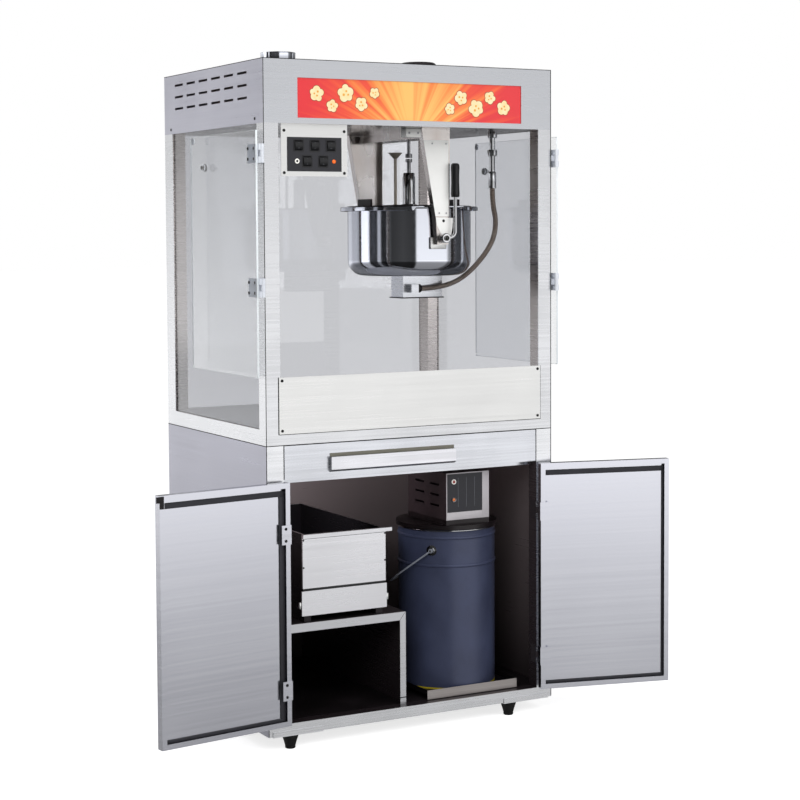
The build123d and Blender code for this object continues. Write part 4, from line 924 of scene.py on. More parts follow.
def pan_head(centre: Point, along: Along, radius: float = 4.0, height: float = 1.7) -> Surface:
    """A pan-head screw: a dome of height h (1 - fall (r / R)^4) with a cross pressed into it.

    Args:
        centre: middle of the face that it sits on.
        along: the way it points.
        radius: radius R of the head.
        height: height h of the dome's middle.

    Returns:
        The closed skin.
    """
    fall, cross_deep, cross_half, cross_reach = 0.45, 0.45, 0.16, 0.62
    reach = np.array([1.0, 1.0, 0.92, 0.72, 0.5, 0.3, 0.12])[:, None]
    angle = np.linspace(0, 2 * np.pi, 24, endpoint=False)
    x, y = reach * np.cos(angle), reach * np.sin(angle)
    dome = height * (1.0 - fall * np.broadcast_to(reach, x.shape) ** 4)
    near, far = np.minimum(np.abs(x), np.abs(y)), np.maximum(np.abs(x), np.abs(y))
    arm = np.maximum(near / cross_half, far / cross_reach)
    level = dome - cross_deep * height * (arm < 1.0)
    level[0] = 0.0
    return loft(np.stack([x * radius, y * radius, level], -1)).placed(centre, along)


def hexagon(centre: Point, along: Along, across: float, height: float, bore: float) -> Surface:
    """A six-sided nut: a hexagon drawn in at both ends by its chamfer, with a round bore.

    Args:
        centre: middle of its foot.
        along: the way it points.
        across: width across the flats.
        height: height of the nut.
        bore: radius of the bore.

    Returns:
        The closed skin.
    """
    steps, chamfer, swell = 36, 0.16, 1.03
    angle = np.linspace(0, 2 * np.pi, steps, endpoint=False)
    six = across / 2 / np.cos((angle + np.pi / 6) % (np.pi / 3) - np.pi / 6)
    ease = np.minimum(six, across / 2 * swell)
    hole = np.full(steps, bore)
    low, high = height * chamfer, height * (1.0 - chamfer)
    walls = ((hole, 0), (ease, 0), (six, low), (six, high), (ease, height), (hole, height))
    rings = [
        np.stack([radius * np.cos(angle), radius * np.sin(angle), np.full(steps, level)], -1)
        for radius, level in walls
    ]
    return loft(np.stack(rings), wrapped=True).placed(centre, along)


def border(outer: Rectangle, inner: Rectangle, front: float, back: float, edge: float) -> list[Surface]:
    """Four strips between two rectangles that face the front; the level ones run the full width.

    Args:
        outer: left, right, low and high of the outer rectangle.
        inner: the same of the inner one.
        front: Y of the strips' front.
        back: Y of their back.
        edge: how far their edges are eased.

    Returns:
        The top, bottom, left and right strip.
    """
    left, right, low, high = outer
    in_left, in_right, in_low, in_high = inner
    return [
        bar((left, front, in_high), (right, back, high), edge),
        bar((left, front, low), (right, back, in_low), edge),
        bar((left, front, in_low), (in_left, back, in_high), edge),
        bar((in_right, front, in_low), (right, back, in_high), edge),
    ]


@dataclass
class Conduit:
    """Ribbed flexible conduit from the ceiling pipe to the heater box."""

    route: tuple = (
        (352.0, 160.0, 1503.0), (352.0, 160.0, 1462.0), (372.0, 168.0, 1398.0),
        (362.0, 186.0, 1330.0), (305.0, 236.0, 1243.0), (240.0, 272.0, 1212.0),
        (173.0, 272.0, 1212.0),
    )
    radius: float = 8.0
    rib_deep: float = 1.8
    rib_pitch: float = 4.2
    rings_per_rib: int = 6
    sides: int = 14

    def line(self) -> np.ndarray:
        """Places along the smooth line that the route's points steer.

        Returns:
            Places in metres, read from a spline of order three through the first and last point.
        """
        curve = bpy.data.curves.new("conduit_line", "CURVE")
        curve.dimensions = "3D"
        spline = curve.splines.new("NURBS")
        points = at(self.route)
        spline.points.add(len(points) - 1)
        spline.points.foreach_set("co", np.column_stack([points, np.ones(len(points))]).ravel())
        spline.order_u = 3
        spline.use_endpoint_u = True
        spline.resolution_u = 48
        holder = bpy.data.objects.new("conduit_line", curve)
        bpy.context.scene.collection.objects.link(holder)
        bpy.context.view_layer.update()
        mesh = bpy.data.meshes.new_from_object(holder)
        found = np.zeros(len(mesh.vertices) * 3)
        mesh.vertices.foreach_get("co", found)
        bpy.data.objects.remove(holder)
        bpy.data.meshes.remove(mesh)
        bpy.data.curves.remove(curve)
        return found.reshape(-1, 3)

    def build(self) -> None:
        """The ribbed tube: its radius swings by the rib depth with the length along the line."""
        middle = self.line()
        run = np.concatenate([[0.0], np.cumsum(np.linalg.norm(np.diff(middle, axis=0), axis=1))])
        steps = int(run[-1] * 1000 / self.rib_pitch * self.rings_per_rib)
        spaced = np.linspace(0.0, run[-1], steps)
        path = np.stack([np.interp(spaced, run, middle[:, axis]) for axis in range(3)], -1)
        swell = 0.5 + 0.5 * np.cos(2 * np.pi * spaced * 1000 / self.rib_pitch)
        radius = self.radius - self.rib_deep * (1.0 - swell) ** 2
        skin = tube(path * 1000 - ORIGIN, radius, (0.0, 1.0, 0.0), self.sides)
        piece = make_piece("conduit_hose", [(skin, HOSE)], None, ["kettle_conduit"])
        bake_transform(piece)


@dataclass
class Kettle:
    """Tilting kettle: pot, bridge, lids, handle, grip, heater box and the arms that carry it.

    Profiles are pairs of radius and height. The neck's and hem's pairs are counted from the pot's
    wall and from the flange's edge, at the rim; the arm's pairs are X from the pivot and Z.
    """

    centre: Pair = (163.0, 320.0)
    radius: float = 181.0
    rim: float = 1450.0
    bottom: float = 1250.0
    belt: float = 110.0
    flange: float = 202.0
    flange_sheet: float = 2.2
    flange_roll: float = 2.5
    flat: float = 184.0
    bend: float = 45.0
    wall: float = 2.0
    neck: Profile = ((0.0, -9.0), (0.0, -6.0), (2.0, -3.0), (8.0, -2.2))
    hem: Profile = ((-2.0, -2.2), (-2.0, -11.4), (-1.0, -12.0), (0.0, -11.4))
    pivot: Pair = (155.0, 1359.0)
    block: Triple = (52.0, 34.0, 19.5)
    block_drop: float = 14.0
    block_sunk: float = 12.0
    pin: Profile = ((8.0, 0.0), (8.0, 62.0), (7.0, 63.0))
    pin_sunk: float = 6.0
    heater_lip: Box = ((117.8, 279.8, 1182.9), (257.2, 360.2, 1186.1))
    deck_span: Pair = (-51.0, 33.0)
    deck_thick: float = 4.0
    deck_short: float = 4.0
    sleeve: Profile = (
        (6.1, 0.0), (24.0, 0.0), (24.0, 3.0), (18.5, 5.0), (18.5, 84.0), (17.0, 87.0), (17.0, 94.0),
        (15.5, 96.0), (6.1, 96.0),
    )
    funnel: Profile = (
        (3.0, 0.0), (8.0, 0.0), (8.0, 2.0), (4.5, 4.0), (4.5, 136.0), (20.4, 153.0), (21.0, 154.0),
        (19.4, 154.0), (3.0, 138.0),
    )
    funnel_left: float = 45.0
    lug_apart: float = 0.6
    lug_gap: float = 0.3
    lug_long: float = 7.0
    lug_wide: Pair = (3.3, 3.0)
    lug_rise: Pair = (0.3, 6.3)
    handle_y: float = 92.0
    handle_reach: float = 32.0
    handle_bend: float = 20.0
    handle_tall: float = 205.0
    handle_rod: float = 5.0
    hub: Profile = ((2.0, 0.0), (12.5, 0.0), (14.0, 1.5), (14.0, 18.0), (12.0, 20.5), (5.0, 20.5))
    hub_y: float = 106.5
    hub_nut_y: float = 86.0
    grip: Profile = (
        (5.1, 0.0), (10.5, 0.0), (12.0, 2.0), (12.5, 10.0), (11.4, 40.0), (11.6, 62.0),
        (12.5, 84.0), (11.5, 92.0), (8.0, 95.5), (1.0, 96.0),
    )
    grip_rise: float = 25.0
    arm_y: float = 108.0
    arm_sheet: float = 0.9
    arm_plate: Profile = ((-62.0, 1636.0), (19.0, 1636.0), (19.0, 1421.0), (-24.0, 1421.0))
    arm_foot: Profile = (
        (-23.0, 1418.0), (33.0, 1416.0), (31.0, 1389.0), (27.0, 1368.0), (-4.0, 1368.0),
        (-19.0, 1394.0),
    )
    arm_rivets: Pairs = ((-34.0, 1626.0), (11.0, 1626.0), (-12.0, 1430.0), (11.0, 1430.0))
    arm_bolt: Pair = (2.0, 1408.0)

    def build(self) -> None:
        """Pot, bridge fittings, handle, grip and the small parts on them."""
        pot = [(self.pot(), MIRROR)] + [(skin, BRIGHT) for skin in self.trunnions()]
        make_piece("kettle_shell", pot, "kettle", ["kettle_pot"])
        self.bridge()
        self.handle()
        self.arm_face()
        dress(SATIN, "heater_box")
        make_piece("heater_lip", [(bar(*self.heater_lip, 0.3), DARK_COAT)], "kettle")
        dress(ZINC, "agitator", "drive_shaft")
        dress(DARK_COAT, "left_kettle_lid", "right_kettle_lid")
        dress(ARM, "kettle_hanger")

    def pot(self) -> Surface:
        """The pot turned from its profile, with the rolled flange cut flat beside the arms.

        Returns:
            The closed skin.
        """
        r, low, top, bend, wall = self.radius, self.bottom, self.rim, self.bend, self.wall
        corner, roll = (r - bend, low + bend), self.flange_roll
        profile = np.concatenate(
            [
                [(1.0, low)],
                arc(corner, bend, -90, 0, 10),
                [(r, low + bend + 0.5), (r, low + self.belt)],
                np.array(self.neck) + (r, top),
                np.array(self.hem) + (self.flange, top),
                arc((self.flange - roll, top - roll), roll, 0, 90, 6),
                [(r - wall, top), (r - wall - 0.6, top - 1.0), (r - wall, low + self.belt)],
                arc(corner, bend - wall, 0, -90, 10),
                [(1.0, low + wall)],
            ]
        )
        skin = turned(profile, sides=128)
        across, height = skin.points[:, 1], skin.points[:, 2]
        lifted = np.maximum(height, top - self.flange_sheet)
        skin.points[:, 2] = np.where(np.abs(across) > self.flat, lifted, height)
        skin.points[:, 1] = np.clip(across, -self.flat, self.flat)
        return skin.placed((*self.centre, 0.0), Along.UP)

    def trunnions(self) -> list[Surface]:
        """The two blocks riveted to the pot's wall and their pins through the arms.

        Returns:
            Block and pin in front, block and pin behind.
        """
        x, z = self.pivot
        y = self.centre[1]
        made = []
        for along, sign in ((Along.FRONT, -1), (Along.REAR, 1)):
            block_y = y + sign * (self.radius - self.block_sunk)
            block = plate(*self.block, corner=3.0, edge=1.2)
            block = block.placed((x, block_y, z - self.block_drop), along)
            pin = turned(self.pin, 32).placed((x, y + sign * (self.radius - self.pin_sunk), z), along)
            made += [block, pin]
        return made

    def bridge(self) -> None:
        """Bridge plate, bearing sleeve with its collar, oil funnel and the lids' hinge lugs."""
        x, y = self.centre
        left, right = (x + way for way in self.deck_span)
        top = self.rim + self.deck_thick
        deck = plate(right - left, 2 * (self.radius - self.deck_short), self.deck_thick, 3.0, 0.8)
        sleeve, funnel = turned(self.sleeve, 40, wrapped=True), turned(self.funnel, 36, wrapped=True)
        parts = [
            (deck.placed(((left + right) / 2, y, self.rim), Along.UP), DARK_COAT),
            (sleeve.placed((x, y, top), Along.UP), CHROME),
            (funnel.placed((x - self.funnel_left, y, top), Along.UP), TINNED),
        ]
        half = (self.radius + 1.0) * self.lug_apart
        foot, head = (self.rim + rise for rise in self.lug_rise)
        for side, inner in ((-1, left), (1, right)):
            outer = inner + side * self.lug_wide[0] + side * self.lug_wide[1]
            low, high = sorted((outer, inner))
            for end in (-1, 1):
                start = y + end * (half + self.lug_gap)
                near, far = sorted((start, start + end * self.lug_long))
                parts.append((bar((low, near, foot), (high, far, head), 0.8), DARK_COAT))
        make_piece("bridge_set", parts, "kettle", ["kettle_bridge"])

    def handle(self) -> None:
        """Bent rod from the front pivot with its hub, and the moulded grip."""
        x, z = self.pivot
        reach, bend = self.handle_reach, self.handle_bend
        across = np.column_stack([np.linspace(0, reach - bend, 5)[:-1], np.zeros(4)])
        corner = arc((reach - bend, bend), bend, -90, 0, 12)
        upward = np.column_stack([np.full(6, reach), np.linspace(bend, self.handle_tall, 7)[1:]])
        flat = np.concatenate([across, corner, upward])
        path = np.column_stack([x + flat[:, 0], np.full(len(flat), self.handle_y), z + flat[:, 1]])
        parts = [
            (tube(path, np.full(len(path), self.handle_rod), (0.0, 1.0, 0.0), sides=20), CHROME),
            (turned(self.hub, 40).placed((x, self.hub_y, z), Along.FRONT), CHROME),
            (hexagon((x, self.hub_nut_y, z), Along.FRONT, 13.0, 4.0, 1.0), ZINC),
        ]
        make_piece("dump_lever", parts, "kettle", ["dump_handle"])
        foot = (x + reach, self.handle_y, self.rim + self.grip_rise)
        grip = turned(self.grip, 36).placed(foot, Along.UP)
        make_piece("lever_grip", [(grip, BLACK_ABS)], "kettle", ["handle_grip"])

    def arm_face(self) -> None:
        """White plate on the front arm's face with its rivets, and the bolted white foot below it."""
        x = self.pivot[0]
        parts = []
        for outline in (self.arm_plate, self.arm_foot):
            sheet = prism(np.array(outline) + (x, 0.0), self.arm_sheet)
            parts.append((sheet.placed((0.0, self.arm_y, 0.0), Along.FRONT), ENAMEL))
        front = self.arm_y - self.arm_sheet
        for way, z in self.arm_rivets:
            parts.append((pan_head((x + way, front, z), Along.FRONT, 2.4, 1.0), ZINC))
        bolt_x, bolt_z = self.arm_bolt
        parts.append((pan_head((x + bolt_x, front, bolt_z), Along.FRONT, 4.0, 1.6), BLACK_ABS))
        make_piece("arm_face", parts, "cabinet")


@dataclass
class Ceiling:
    """What hangs from the chamber's ceiling beside the kettle: conduit pipe and junction block."""

    pipe: Pair = (352.0, 160.0)
    top: float = 1666.0
    end: float = 1503.0
    sleeve: Profile = (
        (1.0, 0.0), (12.0, 0.0), (12.0, 1.0), (11.2, 4.0), (11.2, 42.0), (12.0, 45.0), (11.0, 46.0),
        (8.0, 48.0),
    )
    pipe_radius: float = 8.0
    nut: Triple = (25.0, 18.0, 7.9)
    nut_drops: Pair = (18.0, 70.0)
    block: Box = ((32.0, 98.0, 1642.0), (80.0, 130.0, 1666.0))
    block_screws: Pair = (42.0, 70.0)
    block_middle: float = 1654.0
    elbow: Point = (173.0, 272.0, 1212.0)
    elbow_nut: Triple = (22.0, 10.0, 9.9)

    def build(self) -> None:
        """Pipe with two hexagon nuts and a light sleeve, and the white junction block."""
        x, y = self.pipe
        rod = turned([*self.sleeve, (self.pipe_radius, self.top - self.end)], 36)
        parts = [(rod.placed((x, y, self.end), Along.UP), CHROME)]
        for drop in self.nut_drops:
            parts.append((hexagon((x, y, self.top - drop), Along.UP, *self.nut), CHROME))
        parts.append((bar(*self.block, 2.0), ENAMEL))
        front = self.block[0][1]
        for screw_x in self.block_screws:
            parts.append((pan_head((screw_x, front, self.block_middle), Along.FRONT, 3.2, 1.2), ZINC))
        make_piece("ceiling_pipe", parts, "cabinet", ["ceiling_fittings"])
        nut = hexagon(self.elbow, Along.LEFT, *self.elbow_nut)
        make_piece("conduit_nut", [(nut, DARK_COAT)], "kettle")


@dataclass
class Cabinet:
    """Glazed popping cabinet: posts, glass, plates, deck and screws."""

    half: float = 450.0
    deep: float = 700.0
    plate_half: float = 412.0
    plate_front: float = -2.0
    sill: float = 841.0
    window_sill: float = 993.0
    screw_in: float = 9.0
    panel: Rectangle = (-390.0, -193.0, 1527.0, 1666.0)
    panel_front: float = 20.0
    header_screws: Pair = (54.0, 650.0)
    header_screw_z: float = 1679.0
    gap_shadow_wide: float = 1.6
    shadow_foot: float = 1.8
    gap_shadow_back: float = -0.05
    seam_proud: float = 0.5
    seam_wide: float = 1.6
    seam_levels: Pairs = ((809.8, 812.0), (1834.2, 1836.0))
    corner_levels: Pairs = ((30.0, 809.8), (812.0, 1834.2))

    def build(self) -> None:
        """Finishes on the solids, screw heads and thin black strips of painted shadow in the gap round
        the lower plate.
        """
        dress(HEADER_SHEET, "header_front_panel", "roof_panel")
        dress(DECK, "sifter_deck")
        dress(CABINET, "cabinet_frame")
        dress(SIDE, "header_panels")
        dress(BRIGHT, "lower_front_plate", "control_plate")
        dress(CEILING, "hood_ceiling")
        dress(GLASS, "cabinet_glass")
        self.screws()
        self.gap_shadow()
        self.seams()

    def screws(self) -> None:
        """Pan heads in the plate's corners, the control plate's corners and the header's sides."""
        heads = []
        inset = self.screw_in
        edge = self.plate_half - inset
        for x in (-edge, edge):
            for z in (self.sill + inset, self.window_sill - inset):
                heads.append(pan_head((x, self.plate_front, z), Along.FRONT))
        left, right, low, high = self.panel
        for x in (left + inset, right - inset):
            for z in (low + inset, high - 2 * inset):
                heads.append(pan_head((x, self.panel_front, z), Along.FRONT))
        for y in self.header_screws:
            heads.append(pan_head((-self.half, y, self.header_screw_z), Along.LEFT))
            heads.append(pan_head((self.half, y, self.header_screw_z), Along.RIGHT))
        parts = [(head, BLACK_ABS) for head in heads]
        make_piece("plate_screws", parts, "cabinet", ["panel_screws"])

    def gap_shadow(self) -> None:
        """Thin black strips of painted shadow in the gap along the lower plate's two sides and foot."""
        half, low, high = self.plate_half, self.sill, self.window_sill
        wide, back = self.gap_shadow_wide, self.gap_shadow_back
        strips = [
            bar((-half - wide, -wide, low - wide), (-half, back, high), 0.4),
            bar((half, -wide, low - wide), (half + wide, back, high), 0.4),
            bar((-half, -wide, low - self.shadow_foot), (half, back, low), 0.4),
        ]
        make_piece("plate_gap_shadow", [(s, RUBBER_AND_SHADE_BLACK) for s in strips], "cabinet")

    def seams(self) -> None:
        """Dark joints between sheets: the foot of the cabinet, the roof's edge and the front corners."""
        half, deep, proud = self.half, self.deep, self.seam_proud
        strips = []
        for low, high in self.seam_levels:
            strips.append(bar((-half - proud, -proud, low), (half + proud, 0.0, high), 0.2))
            strips.append(bar((-half - proud, 0.0, low), (-half, deep, high), 0.2))
            strips.append(bar((half, 0.0, low), (half + proud, deep, high), 0.2))
        for side in (-1, 1):
            for low, high in self.corner_levels:
                inner, outer = sorted((side * (half - self.seam_wide), side * (half + proud)))
                strips.append(bar((inner, -proud, low), (outer, 0.0, high), 0.2))
        make_piece("sheet_seams", [(s, RUBBER_AND_SHADE_BLACK) for s in strips], "cabinet")


@dataclass
class Header:
    """Header box: sign with its printed kernels, exhaust collar and motor cap on the roof.

    A kernel is its X, its rise over the sign's middle, its size and its turn; a lobe or a mark is
    its distance from the kernel's middle, its bearing and its radius, as shares of the size.
    """

    sign_y: float = 2.0
    sign_z: float = 1734.0
    kernels: tuple = (
        (-292.0, 12.0, 21.0, 0.2), (-246.0, -19.0, 17.0, 1.4), (-206.0, 16.0, 24.0, 2.9),
        (-158.0, -12.0, 19.0, 0.9), (-118.0, 19.0, 15.0, 2.2), (118.0, -18.0, 16.0, 0.5),
        (154.0, 14.0, 20.0, 1.9), (202.0, -13.0, 24.0, 3.3), (248.0, 17.0, 18.0, 1.1),
        (292.0, -10.0, 21.0, 2.6),
    )
    lobes: tuple = (
        (0.0, 0.0, 0.6), (0.56, 0.1, 0.44), (0.5, 1.4, 0.52), (0.62, 2.6, 0.38), (0.5, 3.7, 0.5),
        (0.6, 5.0, 0.4),
    )
    marks: tuple = ((0.3, 0.9, 0.15), (0.36, 2.9, 0.12), (0.24, 4.6, 0.13))
    outline_wide: float = 1.7
    ink_levels: Triple = (0.1, 0.22, 0.34)
    collar: Pair = (-243.0, 350.0)
    housing_outer: Profile = (
        (90.0, 1668.0), (90.0, 1752.0), (47.0, 1772.0), (47.0, 1836.0), (50.0, 1836.0),
        (50.0, 1838.0), (49.4, 1839.0), (49.4, 1882.0),
    )
    housing_lip: Pair = (48.6, 1884.6)
    housing_inner: Profile = ((46.2, 1882.0), (45.5, 1771.0), (88.5, 1751.0), (88.5, 1668.0))
    motor: Profile = ((1.0, 1668.0), (22.0, 1668.0), (22.0, 1698.0), (4.0, 1698.0), (4.0, 1734.0))
    cap: Point = (163.0, 262.0, 1836.0)
    skirt: Profile = ((53.1, 0.0), (56.0, 0.0), (56.0, 3.0), (54.6, 5.0), (53.1, 5.0))

    def build(self) -> None:
        """Sign, its printed motifs, the fan's housing and the cap."""
        dress(SIGN, "sign_panel")
        dress(WHITE_LENS, "sign_lamp")
        dress(ZINC, "fan_wheel")
        dress(DARK_COAT, "drive_motor")
        self.motifs()
        self.exhaust()
        self.cap_ring()

    def motifs(self) -> None:
        """Plain popped kernels, each printed as a dark outline, a pale body and three marks.

        The outline follows the far side of a heap of round lobes: along each direction from the
        middle it lies where the ray leaves the last lobe, at c cos d + sqrt(r^2 - c^2 sin^2 d) for a
        lobe of radius r at distance c and d away in angle.
        """
        angle = np.linspace(0, 2 * np.pi, 56, endpoint=False)
        way = np.stack([np.cos(angle), np.sin(angle)], -1)
        lobes = np.array(self.lobes)
        outline_level, body_level, mark_level = self.ink_levels
        parts = []
        for x, rise, size, phase in self.kernels:
            apart, turn, radius = lobes[:, :1], lobes[:, 1:2] + phase, lobes[:, 2:]
            room = radius**2 - (apart * np.sin(angle - turn)) ** 2
            leaves = apart * np.cos(angle - turn) + np.sqrt(np.maximum(room, 0.0))
            reach = size * np.where(room > 0, leaves, 0.0).max(axis=0)[:, None]
            shapes = [
                (way * (reach + self.outline_wide), outline_level, BROWN_INK),
                (way * reach, body_level, KERNEL_INK),
            ]
            for away, bearing, share in self.marks:
                middle = size * away * np.array([math.cos(bearing + phase), math.sin(bearing + phase)])
                shapes.append((middle + way[::4] * size * share, mark_level, BUTTER_INK))
            for outline, proud, ink in shapes:
                blob = prism(outline, proud).placed((x, self.sign_y, self.sign_z + rise), Along.FRONT)
                parts.append((blob, ink))
        make_piece("sign_kernels", parts, "cabinet")

    def exhaust(self) -> None:
        """Fan housing, neck and polished collar with a rolled lip, and the fan's motor."""
        roll = arc(self.housing_lip, 1.4, -20, 200, 9)
        profile = np.concatenate([self.housing_outer, roll, self.housing_inner])
        housing, motor = turned(profile, 72, wrapped=True), turned(self.motor, 36)
        parts = [
            (housing.placed((*self.collar, 0.0), Along.UP), MIRROR),
            (motor.placed((*self.collar, 0.0), Along.UP), DARK_COAT),
        ]
        make_piece("exhaust_collar", parts, "cabinet", ["exhaust_duct"])

    def cap_ring(self) -> None:
        """A skirt ring round the foot of the motor's cap."""
        ring = turned(self.skirt, 64, wrapped=True).placed(self.cap, Along.UP)
        make_piece("cap_skirt", [(ring, BLACK_ABS)], "cabinet")


@dataclass
class Controls:
    """Control face, rocker switches with their marks, and pilot lamps."""

    face_y: float = 18.5
    places: Pairs = (
        (-339.0, 1609.0), (-291.0, 1609.0), (-243.0, 1609.0), (-314.0, 1567.0), (-266.0, 1567.0),
    )
    bezel: Pair = (30.0, 32.0)
    bezel_band: float = 2.6
    bezel_thick: float = 1.0
    mark_y: Pair = (-2.6, -2.0)
    stroke_half: float = 0.7
    stroke_rise: Pair = (4.0, 7.6)
    circle: Profile = ((1.6, 0.0), (2.4, 0.0), (2.4, 0.6), (1.6, 0.6))
    circle_drop: float = 5.6
    lamp_z: float = 1567.0
    lamp_x: Pair = (-344.0, -234.0)
    ring: Profile = ((3.4, 0.0), (6.5, 0.0), (6.5, 1.8), (5.8, 2.5), (4.2, 2.5), (3.4, 1.6))
    ring_well: Profile = ((3.4, 0.0), (3.4, 1.0), (0.4, 1.2))
    dome: float = 5.5

    def build(self) -> None:
        """Finishes, switch bezels, on and off marks and the two lamps."""
        dress(OVERLAY, "control_face")
        dress(BLACK_ABS, *[f"rocker_switch_{k + 1}" for k in range(len(self.places))])
        bezels = []
        front, back = (self.face_y + way for way in self.mark_y)
        foot, head = self.stroke_rise
        for k, (x, z) in enumerate(self.places, start=1):
            ring = frame_ring(*self.bezel, self.bezel_band, self.bezel_thick)
            bezels.append((ring.placed((x, self.face_y, z), Along.FRONT), BLACK_ABS))
            half = self.stroke_half
            stroke = bar((x - half, front, z + foot), (x + half, back, z + head), 0.2)
            circle = turned(self.circle, 20, wrapped=True)
            circle = circle.placed((x, back, z - self.circle_drop), Along.FRONT)
            marks = [(stroke, GREY_INK_AND_SHADE), (circle, GREY_INK_AND_SHADE)]
            make_piece(f"rocker_mark_{k}", marks, f"rocker_{k}")
        make_piece("switch_bezels", bezels, "cabinet")
        self.lamps()

    def lamps(self) -> None:
        """A ringed white lamp and a domed amber one."""
        white_x, amber_x = self.lamp_x
        white, amber = (white_x, self.face_y, self.lamp_z), (amber_x, self.face_y, self.lamp_z)
        curve = arc((0.0, 0.3), self.dome, 0, 86, 8) * (1.0, 0.4)
        dome = turned(np.concatenate([[(self.dome, 0.0)], curve]), 32)
        parts = [
            (turned(self.ring, 36, wrapped=True).placed(white, Along.FRONT), WHITE_LENS),
            (turned(self.ring_well, 24).placed(white, Along.FRONT), BLACK_ABS),
            (dome.placed(amber, Along.FRONT), AMBER),
        ]
        make_piece("pilot_lenses", parts, "cabinet", ["pilot_lamps"])


@dataclass
class WindowDoors:
    """Two clear doors swung right round to the cabinet's sides, with knobs and screw heads."""

    axis: Pair = (-460.0, -14.0)
    swing: float = -270.0
    pane: Rectangle = (-447.0, -2.0, 994.5, 1646.0)
    outer: float = -5.5
    inner: float = -0.5
    edge_wide: float = 0.5
    edge_proud: float = 0.1
    hinges: Pair = (1232.0, 1585.0)
    screw_rises: Pair = (-14.0, 14.0)
    screw_columns: Pairs = ((13.0, 0.4), (49.0, 2.2))
    knob: Pair = (-74.0, 1559.0)
    knob_profile: Profile = (
        (5.3, 0.0), (5.3, 5.6), (9.0, 6.2), (10.4, 8.0), (10.6, 12.0), (9.6, 15.0), (6.0, 15.6),
        (1.0, 15.7),
    )

    def build(self) -> None:
        """Finishes and the small black parts of each door, laid out shut and then swung."""
        for side in Side:
            dress(ACRYLIC, f"{side.value}_window_pane")
            dress(HINGE, f"{side.value}_window_fittings")
            dressed = [(skin, BLACK_ABS) for skin in self.fittings()]
            dressed += [(skin, ACRYLIC_EDGE_HIGHLIGHT) for skin in self.edges()]
            swung = [(skin.swung(self.axis, self.swing), finish) for skin, finish in dressed]
            if side is Side.RIGHT:
                swung = [(skin.mirrored(), finish) for skin, finish in swung]
            make_piece(f"{side.value}_window_trim", swung, f"{side.value}_window")
        dress(LEAF_STEEL, "fixed_hinge_leaves")

    def fittings(self) -> list[Surface]:
        """The knob and the hinges' screw heads, low over the post and full on the pane.

        Returns:
            The skins of a left door as it lies shut.
        """
        x, z = self.knob
        made = [turned(self.knob_profile, 36).placed((x, self.outer, z), Along.FRONT)]
        for hinge in self.hinges:
            for way, height in self.screw_columns:
                for rise in self.screw_rises:
                    place = (self.pane[0] + way, self.inner, hinge + rise)
                    made.append(pan_head(place, Along.REAR, 4.2, height))
        return made

    def edges(self) -> list[Surface]:
        """Thin strips of painted highlight along the pane's edge, all round.

        Returns:
            The skins of a left door as it lies shut.
        """
        left, right, low, high = self.pane
        wide, proud = self.edge_wide, self.edge_proud
        around = (left - wide, right + wide, low - wide, high + wide)
        return border(around, self.pane, self.outer - proud, self.inner + proud, 0.1)


